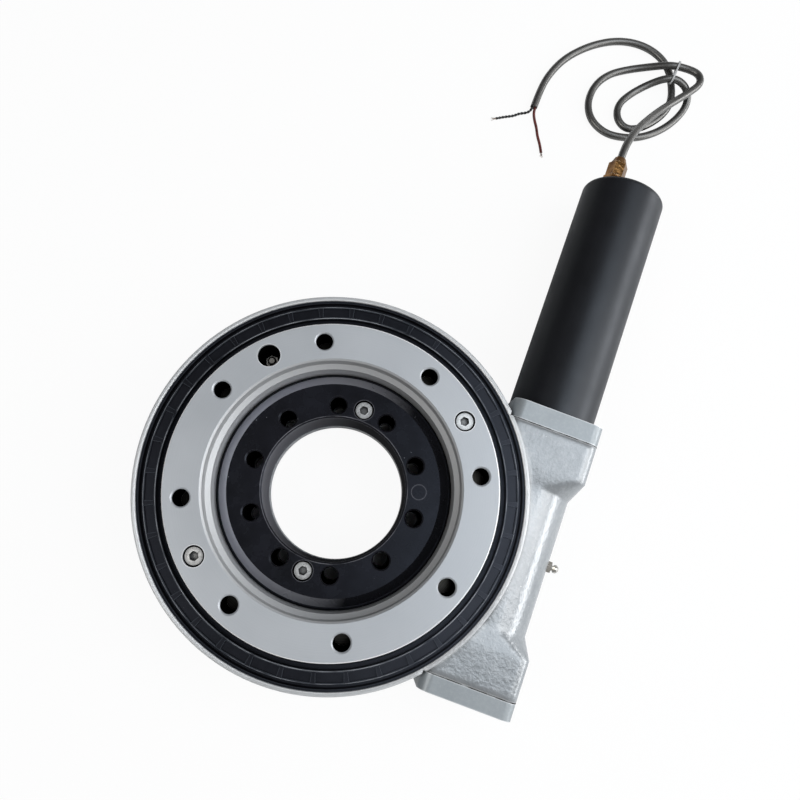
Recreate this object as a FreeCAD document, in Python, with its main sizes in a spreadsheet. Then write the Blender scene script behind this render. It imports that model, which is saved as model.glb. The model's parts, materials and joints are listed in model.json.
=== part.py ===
import FreeCAD, Part
import Sketcher
import math
import os
import re
from FreeCAD import Placement, Rotation, Vector

# Worm slewing drive with a planetary direct-current gearmotor, in millimetres.
# Origin on the slewing axis in the base face, +Z up to the output face,
# +X towards the worm, +Y along the worm axis towards the motor.

os.makedirs("parts", exist_ok=True)
doc = FreeCAD.newDocument("SlewingDrive")

# Driving dimensions, one row of the sheet each
sizes = {
    # worm and wheel
    "gear_module": 4.0,
    "wheel_teeth": 57,
    "worm_pitch_radius": 18.7,
    "worm_turns": 5,
    "worm_height": 36.0,
    "wheel_face_width": 28.0,
    "wheel_lower_rim": 5.0,
    "tooth_thinning": 0.38,
    "tip_relief": 0.2,
    "root_clearance": 0.8,
    "pressure_angle": 20.0,
    # housing
    "drive_height": 78.0,
    "floor_thickness": 12.0,
    "rim_height": 71.0,
    "chamber_clearance": 2.5,
    "seal_ledge": 13.0,
    "rim_wall": 3.0,
    "rim_edge": 1.0,
    "tunnel_clearance": 1.3,
    "tunnel_wall": 7.5,
    "block_width": 67.0,
    "block_corner": 8.0,
    "block_length": 28.0,
    "flare_length": 13.0,
    "housing_half_length": 91.2,
    # output ring
    "output_step": 3.7,
    "output_edge": 0.8,
    "mouth_step": 4.8,
    "mouth_chamfer": 1.4,
    "ledge_height": 66.0,
    "ledge_fall": 2.5,
    "spigot_wall": 9.4,
    "output_bolt_edge": 12.7,
    "output_bolt_land": 12.2,
    "output_bolt_count": 8,
    "output_bolt_angle": 24.35,
    "output_hole_radius": 6.0,
    "hole_chamfer": 1.0,
    "ring_screw_count": 2,
    "output_screw_angle": 46.85,
    "nipple_recess_angle": 136.85,
    "nipple_recess_radius": 8.0,
    "nipple_recess_floor": 5.0,
    # inner ring
    "inner_ring_top": 54.0,
    "ring_gap": 2.6,
    "inner_bevel": 6.4,
    "inner_shoulder_height": 48.0,
    "bore_chamfer": 1.5,
    "base_bolt_circle": 120.65,
    "base_bolt_land": 9.525,
    "base_bolt_count": 10,
    "base_hole_radius": 6.0,
    "inner_screw_angle": 90.0,
    "dowel_angle": 18.0,
    "dowel_radius": 5.25,
    "dowel_length": 50.0,
    # ball race
    "ball_radius": 6.35,
    "ball_clearance": 0.3,
    "ball_count": 24,
    "cage_thickness": 1.4,
    "cage_half_height": 7.6,
    # seals
    "seal_gap": 0.3,
    "seal_recess": 1.0,
    "seal_height": 7.0,
    "seal_lip_drop": 1.0,
    "seal_groove_depth": 4.2,
    "seal_lip_width": 5.7,
    "seal_outer_groove": 4.8,
    "seal_pocket_count": 36,
    "seal_pocket_depth": 1.2,
    "seal_pocket_length": 18.6,
    "seal_pocket_border": 1.1,
    "inner_seal_bottom": 44.2,
    "inner_seal_height": 2.6,
    "inner_seal_foot": 2.5,
    # hexagon socket cap screws of the two rings
    "screw_edge": 0.5,
    "head_clearance": 0.5,
    "cap_radius": 4.0,
    "cap_head_radius": 6.5,
    "cap_head_height": 8.0,
    "cap_seat_radius": 7.25,
    "cap_seat_depth": 9.5,
    "cap_socket_width": 6.0,
    "cap_socket_depth": 4.0,
    "inner_screw_length": 40.0,
    "output_screw_length": 34.0,
    # worm shaft and its taper roller bearings
    "bearing_bore_radius": 12.5,
    "bearing_outer_radius": 26.0,
    "bearing_width": 16.25,
    "bearing_depth": 11.2,
    "roller_circle_radius": 19.6,
    "roller_tilt": 12.0,
    "roller_large_radius": 3.2,
    "roller_small_radius": 2.8,
    "roller_length": 11.0,
    "roller_gap": 0.3,
    "roller_count": 14,
    "worm_tail_overhang": 4.0,
    "worm_head_overhang": 8.0,
    "worm_core_half": 42.0,
    "worm_shoulder_radius": 15.5,
    "worm_bore_radius": 7.0,
    "worm_bore_depth": 42.0,
    "bore_end_gap": 1.0,
    "shaft_bore_gap": 1.0,
    # covers
    "gasket_thickness": 0.8,
    "end_cover_thickness": 12.0,
    "motor_plate_thickness": 14.0,
    "cover_hollow_radius": 18.0,
    "cover_hollow_depth": 8.0,
    "cover_screw_offset": 23.5,
    "cover_screw_radius": 3.0,
    "cover_head_radius": 5.0,
    "cover_head_height": 6.0,
    "cover_socket_width": 5.0,
    "cover_socket_depth": 3.0,
    "cover_screw_length": 16.0,
    "cover_seat_depth": 6.5,
    "shaft_seal_radius": 17.5,
    "shaft_seal_width": 6.0,
    "bush_radius": 12.0,
    "bush_length": 10.0,
    # planetary stage
    "planet_module": 0.9,
    "sun_teeth": 12,
    "planet_teeth": 18,
    "ring_teeth": 48,
    "planet_count": 3,
    "planet_backlash": 0.21,
    "planet_addendum": 0.8,
    "planet_root_clearance": 0.38,
    "planet_gap": 1.0,
    "planet_width": 14.0,
    "carrier_radius": 18.0,
    "carrier_thickness": 4.0,
    "carrier_gap": 2.0,
    "planet_pin_radius": 2.0,
    "gearbox_radius": 30.0,
    "gearbox_length": 28.0,
    "gearbox_cover_thickness": 8.0,
    "gearbox_screw_count": 4,
    "gearbox_screw_circle": 26.4,
    "gearbox_screw_radius": 1.8,
    "gearbox_head_radius": 3.4,
    "gearbox_head_height": 3.6,
    "gearbox_socket_width": 2.9,
    "gearbox_screw_length": 38.0,
    "key_width": 5.0,
    "key_length": 26.0,
    "key_height": 2.3,
    # direct-current motor
    "motor_radius": 32.25,
    "motor_wall": 2.0,
    "motor_length": 193.0,
    "motor_end_wall": 4.0,
    "motor_end_round": 4.0,
    "can_wall": 2.8,
    "motor_end_room": 23.0,
    "rear_bell_thickness": 10.0,
    "magnet_thickness": 4.6,
    "magnet_overlap": 4.0,
    "magnet_angle": 140.0,
    "air_gap": 0.7,
    "core_start": 20.0,
    "core_slots": 12,
    "slot_width": 3.2,
    "slot_depth": 8.0,
    "winding_radius": 18.5,
    "winding_overhang": 9.0,
    "rotor_shaft_radius": 3.0,
    "commutator_radius": 9.0,
    "commutator_length": 14.0,
    "commutator_setback": 30.0,
    "commutator_gap": 5.0,
    "brush_width": 6.0,
    "brush_height": 8.0,
    "brush_length": 11.0,
    "brush_plate_thickness": 11.0,
    "brush_plate_inset": 1.0,
    "brush_plate_gap": 2.0,
    "motor_bearing_radius": 8.0,
    "motor_bearing_width": 6.0,
    # cable gland
    "gland_shift": -13.7,
    "gland_rise": 12.0,
    "gland_thread_radius": 5.5,
    "gland_hex_width": 15.0,
    "gland_hex_height": 5.5,
    "gland_neck_radius": 5.2,
    "gland_neck_length": 7.0,
    "gland_nut_width": 13.5,
    "gland_nut_length": 12.0,
    "gland_dome_length": 5.5,
    "gland_dome_radius": 4.6,
    "gland_nut_floor": 1.0,
    "gland_bore_gap": 0.2,
    "gland_locknut_height": 3.0,
    # grease nipples
    "nipple_thread_radius": 3.0,
    "nipple_thread_length": 5.0,
    "nipple_hex_width": 8.0,
    "nipple_hex_height": 3.2,
    "nipple_neck_radius": 1.9,
    "nipple_head_radius": 3.1,
    "nipple_head_height": 5.6,
    "recess_nipple_height": 3.4,
    "worm_nipple_offset": 2.0,
    # cable
    "cable_radius": 3.1,
    "core_radius": 1.2,
    "tie_width": 1.4,
    "tie_thickness": 0.7,
    "tie_slack": 0.9,
    # clearances
    "fit_gap": 0.05,
    "running_gap": 0.08,
}

sheet = doc.addObject("Spreadsheet::Sheet", "Sizes")
for row, (alias, number) in enumerate(sizes.items(), start=1):
    sheet.set(f"A{row}", alias)
    sheet.set(f"B{row}", str(number))
    sheet.setAlias(f"B{row}", alias)
doc.recompute()

# Sizes that follow from the driving dimensions
derived = {
    "wheel_pitch_radius": "gear_module * wheel_teeth / 2",
    "wheel_tip_radius": "wheel_pitch_radius + gear_module",
    "wheel_root_radius": "wheel_pitch_radius - gear_module - root_clearance",
    "worm_tip_radius": "worm_pitch_radius + gear_module",
    "worm_root_radius": "worm_pitch_radius - gear_module - root_clearance",
    "worm_lead": "pi * gear_module",
    "lead_slope": "gear_module / (2 * worm_pitch_radius)",
    "centre_distance": "wheel_pitch_radius + worm_pitch_radius",
    "wheel_top": "worm_height + wheel_face_width / 2",
    "teeth_bottom": "worm_height - wheel_face_width / 2",
    "wheel_bottom": "teeth_bottom - wheel_lower_rim",
    "chamber_radius": "wheel_tip_radius + chamber_clearance",
    "seal_seat_radius": "chamber_radius + seal_ledge",
    "seal_top": "rim_height - seal_recess",
    "seal_seat_height": "seal_top - seal_height",
    "seal_groove_floor": "seal_top - seal_groove_depth",
    "drum_radius": "seal_seat_radius + rim_wall",
    "output_radius": "wheel_tip_radius - output_step",
    "output_bolt_circle": "2 * (output_radius - output_bolt_edge)",
    "mouth_radius": "output_bolt_circle / 2 - output_bolt_land",
    "output_bore_radius": "mouth_radius - mouth_step",
    "spigot_radius": "output_bore_radius + spigot_wall",
    "nipple_recess_depth": "drive_height - wheel_top - nipple_recess_floor",
    "inner_ring_radius": "output_bore_radius - ring_gap",
    "inner_face_radius": "inner_ring_radius - inner_bevel",
    "centre_bore_radius": "base_bolt_circle / 2 - base_bolt_land",
    "tunnel_radius": "worm_tip_radius + tunnel_clearance",
    "waist_radius": "tunnel_radius + tunnel_wall",
    "ball_circle": "(inner_ring_radius + output_bore_radius) / 2",
    "raceway_radius": "ball_radius + ball_clearance",
    "bearing_face": "housing_half_length - bearing_depth",
    "bearing_back": "bearing_face - bearing_width",
    "worm_tail": "bearing_face + worm_tail_overhang",
    "worm_head": "bearing_face + worm_head_overhang",
    "plate_seat": "housing_half_length + gasket_thickness",
    "motor_seat": "plate_seat + motor_plate_thickness",
    "motor_end": "motor_seat + motor_length",
    "motor_bore_radius": "motor_radius - motor_wall",
    "can_start": "motor_seat + gearbox_length + gearbox_cover_thickness",
    "can_end": "motor_end - motor_end_room - rear_bell_thickness",
    "can_length": "can_end - can_start",
    "can_bore_radius": "gearbox_radius - can_wall",
    "commutator_start": "can_length - commutator_setback",
    "core_length": "commutator_start - commutator_gap - winding_overhang - core_start",
    "magnet_length": "core_length + 2 * magnet_overlap",
    "magnet_start": "core_start - magnet_overlap",
    "magnet_bore_radius": "can_bore_radius - magnet_thickness - fit_gap",
    "core_radius_outer": "magnet_bore_radius - air_gap",
    "planet_circle": "planet_module * (sun_teeth + planet_teeth) / 2",
    "carrier_start": "motor_seat + carrier_gap",
    "carrier_foot": "worm_head - worm_bore_depth + bore_end_gap",
    "carrier_shank": "carrier_start - carrier_foot",
    "planet_start": "carrier_start + carrier_thickness + planet_gap",
    "roller_mean_radius": "(roller_large_radius + roller_small_radius) / 2",
    "roller_taper": "atan((roller_large_radius - roller_small_radius) / roller_length)",
    "cup_slope": "tan(roller_tilt + roller_taper)",
    "cone_slope": "tan(roller_tilt - roller_taper)",
    "brush_plate_start": "can_start + commutator_start + brush_plate_inset",
    "outer_band_inside": "output_radius + seal_lip_width",
    "outer_band_outside": "seal_seat_radius - seal_outer_groove",
}
levels = doc.addObject("App::VarSet", "Derived")
probe = doc.addObject("App::VarSet", "Probe")
probe.addProperty("App::PropertyFloat", "reading")


def bound(text):
    """Write each size name in the text as a reference to its cell or derived value"""
    def owner(match):
        word = match.group()
        if word in sizes:
            return "Sizes." + word
        if word in derived:
            return "Derived." + word
        return word
    return re.sub(r"[a-z][a-z_]*", owner, text)


def bind(item, expressions):
    for path, text in expressions.items():
        item.setExpression(path, bound(text))


for name in derived:
    levels.addProperty("App::PropertyFloat", name)
for name, text in derived.items():
    levels.setExpression(name, bound(text))
doc.recompute()


def size(name):
    return float(getattr(levels if name in derived else sheet, name))


def value(text):
    """Present number of an expression"""
    probe.setExpression("reading", bound(text))
    probe.recompute()
    return probe.reading


parts = []
quarter_turn = 90.0
half_turn = 180.0
full_turn = 360.0
plate_corners = "4"
turns = {
    "slew": Rotation(),
    "worm": Rotation(Vector(1, 0, 0), -quarter_turn),
    "side": Rotation(Vector(0, 1, 0), quarter_turn),
}


def new_body(label, along="slew", x="0", y="0", z="0"):
    """Body whose own Z axis lies along the slewing axis, the worm axis or the side direction"""
    body = doc.addObject("PartDesign::Body", label)
    body.Label = label
    body.Placement = Placement(Vector(), turns[along])
    if along == "worm":
        x = f"centre_distance + {x}"
        z = f"worm_height + {z}"
    bind(body, {"Placement.Base.x": x, "Placement.Base.y": y, "Placement.Base.z": z})
    parts.append(body)
    return body


def origin_feature(body, role):
    return next(item for item in body.Origin.OriginFeatures if item.Role == role)


def new_sketch(body, name, plane, level):
    sketch = body.newObject("Sketcher::SketchObject", name)
    sketch.AttachmentSupport = (origin_feature(body, plane), "")
    sketch.MapMode = "FlatFace"
    bind(sketch, {"AttachmentOffset.Base.z": level})
    return sketch


def arc_between(start, end, centre_x):
    """Anticlockwise arc between two points of the sketch, given one coordinate of its centre"""
    rise = (start.x - centre_x) ** 2 + start.y ** 2 - (end.x - centre_x) ** 2 - end.y ** 2
    centre = Vector(centre_x, rise / (2 * (start.y - end.y)), 0)
    spokes = [point - centre for point in (start, end)]
    angles = [math.atan2(spoke.y, spoke.x) for spoke in spokes]
    if angles[1] < angles[0]:
        angles[1] += 2 * math.pi
    return Part.ArcOfCircle(Part.Circle(centre, Vector(0, 0, 1), spokes[0].Length), *angles)


def outline(body, name, points, plane="XZ_Plane", level="0"):
    """Closed outline; a point with a third entry starts an arc whose centre has that first coordinate"""
    sketch = new_sketch(body, name, plane, level)
    count = len(points)
    corners = [Vector(value(point[0]), value(point[1]), 0) for point in points]
    edges = []
    rules = [Sketcher.Constraint("Coincident", i, 2, (i + 1) % count, 1) for i in range(count)]
    texts = [None] * count
    for index, point in enumerate(points):
        start, end = corners[index], corners[(index + 1) % count]
        rules.append(Sketcher.Constraint("DistanceX", -1, 1, index, 1, start.x))
        rules.append(Sketcher.Constraint("DistanceY", -1, 1, index, 1, start.y))
        texts += [point[0], point[1]]
        if len(point) == 3:
            edges.append(arc_between(start, end, value(point[2])))
            rules.append(Sketcher.Constraint("DistanceX", -1, 1, index, 3, value(point[2])))
            texts.append(point[2])
        else:
            edges.append(Part.LineSegment(start, end))
    sketch.addGeometry(edges)
    sketch.addConstraint(rules)
    for index, text in enumerate(texts):
        if text is not None:
            bind(sketch, {f"Constraints[{index}]": text})
    return sketch


def rounded_square(body, name, width, corner, plane="XY_Plane", level="0", x="0", y="0"):
    """Square with four round corners about (x, y)"""
    half = f"({width}) / 2"
    flat = f"(({width}) / 2 - ({corner}))"
    points = [
        (f"{x} - {flat}", f"{y} - {half}"),
        (f"{x} + {flat}", f"{y} - {half}", f"{x} + {flat}"),
        (f"{x} + {half}", f"{y} - {flat}"),
        (f"{x} + {half}", f"{y} + {flat}", f"{x} + {flat}"),
        (f"{x} + {flat}", f"{y} + {half}"),
        (f"{x} - {flat}", f"{y} + {half}", f"{x} - {flat}"),
        (f"{x} - {half}", f"{y} + {flat}"),
        (f"{x} - {half}", f"{y} - {flat}", f"{x} - {flat}"),
    ]
    return outline(body, name, points, plane, level)


def feature(body, kind, name, expressions, **settings):
    item = body.newObject("PartDesign::" + kind, name)
    for key, setting in settings.items():
        setattr(item, key, setting)
    bind(item, expressions)
    return item


def revolve(body, name, points, kind="Revolution"):
    sketch = outline(body, name + "_outline", points)
    return feature(body, kind, name, {}, Profile=sketch, ReferenceAxis=(sketch, ["V_Axis"]), Angle=full_turn)


def turned(label, points, along="slew", **place):
    body = new_body(label, along, **place)
    revolve(body, label + "_turn", points)
    return body


def ring_points(inner, outer, bottom, top):
    return [(inner, bottom), (outer, bottom), (outer, top), (inner, top)]


def cylinder(body, kind, name, radius, height, x="0", y="0", z="0", along="slew"):
    item = feature(body, kind, name, {"Radius": radius, "Height": height})
    item.Placement = Placement(Vector(), turns[along])
    bind(item, {"Placement.Base.x": x, "Placement.Base.y": y, "Placement.Base.z": z})
    return item


def drill(body, name, radius, depth, x="0", y="0", z="0", along="slew"):
    return cylinder(body, "SubtractiveCylinder", name, radius, depth, x, y, z, along)


def hexagon(body, kind, name, width, height, z="0"):
    prism = feature(body, kind, name, {"Circumradius": f"({width}) / sqrt(3)", "Height": height}, Polygon=6)
    bind(prism, {"Placement.Base.z": z})
    return prism


def ring_of(body, name, originals, count):
    pattern = feature(body, "PolarPattern", name, {"Occurrences": count})
    pattern.Originals = originals
    pattern.Axis = (origin_feature(body, "Z_Axis"), [""])
    pattern.Angle = full_turn
    body.Tip = pattern
    return pattern


def on_circle(diameter, angle):
    return {"x": f"{diameter} / 2 * cos({angle})", "y": f"{diameter} / 2 * sin({angle})"}


def tooth_outline(root, pitch, tip, half_root, half_pitch, half_tip, shift="0"):
    """Six corners of one tooth about the first axis, moved sideways by shift"""
    rows = [(root, half_root), (pitch, half_pitch), (tip, half_tip)]
    right = [(radius, f"{shift} - ({half})") for radius, half in rows]
    left = [(radius, f"{shift} + ({half})") for radius, half in reversed(rows)]
    return right + left


# Housing: flanged tunnel for the worm fused to a round gear chamber with a floor
def make_housing():
    body = new_body("housing")
    cylinder(body, "AdditiveCylinder", "waist", "waist_radius", "2 * housing_half_length",
             "centre_distance", "-housing_half_length", "worm_height", "worm")
    square = {"x": "centre_distance", "y": "worm_height", "plane": "XZ_Plane"}
    nearly_round = "waist_radius - fit_gap"
    for name, face, waist in (
        ("motor_side", "-housing_half_length", "block_length + flare_length - housing_half_length"),
        ("cover_side", "housing_half_length", "housing_half_length - block_length - flare_length"),
    ):
        inner = f"{face} + block_length" if name == "motor_side" else f"{face} - block_length"
        start = face if name == "motor_side" else inner
        block = rounded_square(body, name + "_square", "block_width", "block_corner", level=start, **square)
        feature(body, "Pad", name + "_block", {"Length": "block_length"}, Profile=block)
        wide = rounded_square(body, name + "_wide", "block_width", "block_corner", level=inner, **square)
        narrow = rounded_square(body, name + "_narrow", "2 * waist_radius", nearly_round,
                                level=waist, **square)
        feature(body, "AdditiveLoft", name + "_flare", {}, Profile=wide, Sections=[narrow], Ruled=True)
    revolve(body, "drum", [
        ("centre_bore_radius + rim_edge", "0"),
        ("drum_radius - rim_edge", "0"),
        ("drum_radius", "rim_edge"),
        ("drum_radius", "rim_height - rim_edge"),
        ("drum_radius - rim_edge", "rim_height"),
        ("centre_bore_radius", "rim_height"),
        ("centre_bore_radius", "rim_edge"),
    ])
    revolve(body, "gear_chamber", [
        ("centre_bore_radius", "floor_thickness"),
        ("chamber_radius", "floor_thickness"),
        ("chamber_radius", "seal_seat_height"),
        ("seal_seat_radius", "seal_seat_height"),
        ("seal_seat_radius", "rim_height"),
        ("centre_bore_radius", "rim_height"),
    ], "Groove")
    for name, start in (
        ("motor_face", "housing_half_length"),
        ("cover_face", "-housing_half_length - block_length"),
    ):
        feature(body, "SubtractiveBox", name, {
            "Length": "block_width + 2 * seal_gap", "Width": "block_length", "Height": "rim_height",
            "Placement.Base.x": "centre_distance - block_width / 2 - seal_gap", "Placement.Base.y": start,
        })
    axis = {"x": "centre_distance", "z": "worm_height", "along": "worm"}
    drill(body, "worm_tunnel", "tunnel_radius", "2 * housing_half_length", y="-housing_half_length", **axis)
    for name, start in (
        ("motor_bearing_bore", "bearing_back"),
        ("cover_bearing_bore", "-housing_half_length"),
    ):
        drill(body, name, "bearing_outer_radius + fit_gap", "housing_half_length - bearing_back",
              y=start, **axis)
    for side, start in (
        ("motor", "housing_half_length - cover_screw_length"),
        ("cover", "-housing_half_length"),
    ):
        for across in (-1, 1):
            for up in (-1, 1):
                drill(body, f"{side}_screw_hole_{across + 1}_{up + 1}", "cover_screw_radius + fit_gap",
                      "cover_screw_length", f"centre_distance + {across} * cover_screw_offset", start,
                      f"worm_height + {up} * cover_screw_offset", "worm")
    base = drill(body, "base_hole", "base_hole_radius", "floor_thickness",
                 **on_circle("base_bolt_circle", "0"))
    ring_of(body, "base_holes", [base], "base_bolt_count")
    screw = drill(body, "inner_screw_hole", "cap_radius + fit_gap", "floor_thickness",
                  **on_circle("base_bolt_circle", "inner_screw_angle"))
    ring_of(body, "inner_screw_holes", [screw], "ring_screw_count")
    drill(body, "dowel_hole", "dowel_radius + fit_gap", "floor_thickness",
          **on_circle("base_bolt_circle", "dowel_angle"))
    drill(body, "nipple_hole", "nipple_thread_radius + fit_gap", "waist_radius",
          "centre_distance", "worm_nipple_offset", "worm_height", "side")
    return body


# Fixed bearing ring with the base bolt circle, a race in its rim and a groove for the dust lip
def make_inner_ring():
    body = turned("inner_ring", [
        ("centre_bore_radius", "floor_thickness"),
        ("inner_ring_radius", "floor_thickness"),
        ("inner_ring_radius", "inner_seal_bottom"),
        ("inner_ring_radius - inner_seal_foot", "inner_seal_bottom"),
        ("inner_ring_radius - inner_seal_foot", "inner_seal_bottom + inner_seal_height"),
        ("inner_ring_radius", "inner_seal_bottom + inner_seal_height"),
        ("inner_ring_radius", "inner_shoulder_height"),
        ("inner_face_radius", "inner_ring_top"),
        ("centre_bore_radius + bore_chamfer", "inner_ring_top"),
        ("centre_bore_radius", "inner_ring_top - bore_chamfer"),
    ])
    cut_race(body)
    through = "inner_ring_top - floor_thickness"
    hole = drill(body, "base_bolt_hole", "base_hole_radius", through, z="floor_thickness",
                 **on_circle("base_bolt_circle", "0"))
    mouth = chamfer_mouth(body, "base_bolt_mouth", "base_hole_radius", "inner_ring_top",
                          on_circle("base_bolt_circle", "0"))
    ring_of(body, "base_bolt_holes", [hole, mouth], "base_bolt_count")
    place = on_circle("base_bolt_circle", "inner_screw_angle")
    shank = drill(body, "screw_shank_hole", "cap_radius + fit_gap", through, z="floor_thickness", **place)
    seat = drill(body, "screw_seat", "cap_seat_radius", "cap_seat_depth",
                 z="inner_ring_top - cap_seat_depth", **place)
    ring_of(body, "screw_seats", [shank, seat], "ring_screw_count")
    drill(body, "dowel_bore", "dowel_radius + fit_gap", through, z="floor_thickness",
          **on_circle("base_bolt_circle", "dowel_angle"))
    return body


def cut_race(body):
    """Round ball groove about the slewing axis at worm height"""
    sketch = new_sketch(body, body.Label + "_race_outline", "XZ_Plane", "0")
    sketch.addGeometry(Part.Circle(Vector(size("ball_circle"), size("worm_height"), 0), Vector(0, 0, 1),
                                   size("raceway_radius")))
    sketch.addConstraint([
        Sketcher.Constraint("Radius", 0, size("raceway_radius")),
        Sketcher.Constraint("DistanceX", -1, 1, 0, 3, size("ball_circle")),
        Sketcher.Constraint("DistanceY", -1, 1, 0, 3, size("worm_height")),
    ])
    bind(sketch, {"Constraints[0]": "raceway_radius", "Constraints[1]": "ball_circle",
                  "Constraints[2]": "worm_height"})
    feature(body, "Groove", body.Label + "_race", {}, Profile=sketch,
            ReferenceAxis=(sketch, ["V_Axis"]), Angle=full_turn)


def chamfer_mouth(body, name, radius, top, place):
    """Conical entry of a hole, down from the face at top"""
    cone = feature(body, "SubtractiveCone", name, {
        "Radius1": radius, "Radius2": f"{radius} + hole_chamfer", "Height": "hole_chamfer",
        "Placement.Base.x": place["x"], "Placement.Base.y": place["y"],
        "Placement.Base.z": f"{top} - hole_chamfer",
    })
    return cone


# Output ring: flange with the bolt circle above, toothed wheel below, parted in the plane of the balls
def make_output_flange():
    spigot = "spigot_radius - fit_gap"
    body = turned("output_flange", [
        ("output_bore_radius", "worm_height"),
        (spigot, "worm_height"),
        (spigot, "wheel_top"),
        ("output_radius", "wheel_top"),
        ("output_radius", "drive_height - output_edge"),
        ("output_radius - output_edge", "drive_height"),
        ("mouth_radius", "drive_height"),
        ("mouth_radius - mouth_chamfer", "drive_height - mouth_chamfer"),
        ("mouth_radius - mouth_chamfer", "ledge_height"),
        ("output_bore_radius", "ledge_height - ledge_fall"),
    ])
    cut_race(body)
    thickness = "drive_height - wheel_top"
    place = on_circle("output_bolt_circle", "output_bolt_angle")
    hole = drill(body, "output_bolt_hole", "output_hole_radius", thickness, z="wheel_top", **place)
    mouth = chamfer_mouth(body, "output_bolt_mouth", "output_hole_radius", "drive_height", place)
    ring_of(body, "output_bolt_holes", [hole, mouth], "output_bolt_count")
    place = on_circle("output_bolt_circle", "output_screw_angle")
    shank = drill(body, "flange_shank_hole", "cap_radius + fit_gap", thickness, z="wheel_top", **place)
    seat = drill(body, "flange_screw_seat", "cap_seat_radius", "cap_seat_depth",
                 z="drive_height - cap_seat_depth", **place)
    ring_of(body, "flange_screw_seats", [shank, seat], "ring_screw_count")
    place = on_circle("output_bolt_circle", "nipple_recess_angle")
    drill(body, "nipple_recess", "nipple_recess_radius", "nipple_recess_depth",
          z="drive_height - nipple_recess_depth", **place)
    drill(body, "recess_nipple_hole", "nipple_thread_radius + fit_gap", thickness, z="wheel_top", **place)
    return body


def make_worm_wheel():
    body = turned("worm_wheel", [
        ("output_bore_radius", "wheel_bottom"),
        ("wheel_root_radius", "wheel_bottom"),
        ("wheel_root_radius", "wheel_top"),
        ("spigot_radius", "wheel_top"),
        ("spigot_radius", "worm_height"),
        ("output_bore_radius", "worm_height"),
    ])
    half = "pi * gear_module / 4 - tooth_thinning"
    slope = "tan(pressure_angle)"
    points = tooth_outline(
        "wheel_root_radius - fit_gap", "wheel_pitch_radius", "wheel_tip_radius",
        f"{half} + (gear_module + root_clearance) * {slope}", half,
        f"{half} - gear_module * {slope} - tip_relief",
        "-wheel_face_width / 2 * lead_slope")
    sketch = outline(body, "wheel_tooth_outline", points, "XY_Plane", "teeth_bottom")
    tooth = feature(body, "Pad", "wheel_tooth", {"Length": "wheel_face_width"}, Profile=sketch,
                    UseCustomVector=True, Direction=Vector(0, size("lead_slope"), 1), AlongSketchNormal=True)
    bind(tooth, {"Direction.y": "lead_slope"})
    ring_of(body, "wheel_teeth_ring", [tooth], "wheel_teeth")
    cut_race(body)
    screw = drill(body, "wheel_screw_hole", "cap_radius + fit_gap", "wheel_top - wheel_bottom",
                  z="wheel_bottom", **on_circle("output_bolt_circle", "output_screw_angle"))
    ring_of(body, "wheel_screw_holes", [screw], "ring_screw_count")
    return body


# Rolling elements between the two rings
def make_balls():
    balls = []
    for index in range(int(size("ball_count"))):
        ball = doc.addObject("Part::Sphere", f"ball_{index + 1}")
        angle = f"360 / ball_count * {index}"
        bind(ball, {"Radius": "ball_radius", "Placement.Base.x": f"ball_circle * cos({angle})",
                    "Placement.Base.y": f"ball_circle * sin({angle})", "Placement.Base.z": "worm_height"})
        balls.append(ball)
    group = doc.addObject("Part::Compound", "balls")
    group.Label = "balls"
    group.Links = balls
    parts.append(group)


def make_ball_cage():
    body = turned("ball_cage", ring_points(
        "ball_circle - cage_thickness / 2", "ball_circle + cage_thickness / 2",
        "worm_height - cage_half_height", "worm_height + cage_half_height"))
    pocket = drill(body, "ball_pocket", "raceway_radius", "2 * ball_radius",
                   "ball_circle - ball_radius", "0", "worm_height", "side")
    ring_of(body, "ball_pockets", [pocket], "ball_count")
    return body


# Rubber seals: broad outer ring with a row of pockets, small lip inside
def make_outer_seal():
    body = turned("outer_seal", [
        ("chamber_radius - seal_gap", "seal_seat_height"),
        ("seal_seat_radius - fit_gap", "seal_seat_height"),
        ("seal_seat_radius - fit_gap", "seal_top - seal_lip_drop"),
        ("seal_seat_radius - seal_outer_groove / 3", "seal_top - seal_lip_drop"),
        ("seal_seat_radius - seal_outer_groove / 2", "seal_groove_floor"),
        ("outer_band_outside + seal_gap", "seal_groove_floor"),
        ("outer_band_outside", "seal_top"),
        ("outer_band_inside", "seal_top"),
        ("outer_band_inside - seal_gap", "seal_groove_floor"),
        ("output_radius + seal_lip_width / 2", "seal_groove_floor"),
        ("output_radius + seal_lip_width / 4", "seal_top - seal_lip_drop"),
        ("output_radius + seal_gap", "seal_top - seal_lip_drop"),
        ("output_radius + seal_lip_width / 3", "seal_seat_height + seal_lip_drop"),
    ])
    pocket = feature(body, "SubtractiveBox", "seal_pocket", {
        "Length": "outer_band_outside - outer_band_inside - 2 * seal_pocket_border",
        "Width": "seal_pocket_length", "Height": "seal_pocket_depth",
        "Placement.Base.x": "outer_band_inside + seal_pocket_border",
        "Placement.Base.y": "-seal_pocket_length / 2",
        "Placement.Base.z": "seal_top - seal_pocket_depth",
    })
    ring_of(body, "seal_pockets", [pocket], "seal_pocket_count")
    return body


def make_inner_seal():
    bottom = "inner_seal_bottom + fit_gap"
    top = "inner_seal_bottom + inner_seal_height - fit_gap"
    return turned("inner_seal", [
        ("inner_ring_radius - inner_seal_foot + fit_gap", bottom),
        ("output_bore_radius - seal_gap", bottom),
        ("output_bore_radius - seal_gap", f"{bottom} + inner_seal_height / 3"),
        ("inner_ring_radius + inner_seal_foot / 3", top),
        ("inner_ring_radius - inner_seal_foot + fit_gap", top),
    ])


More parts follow.
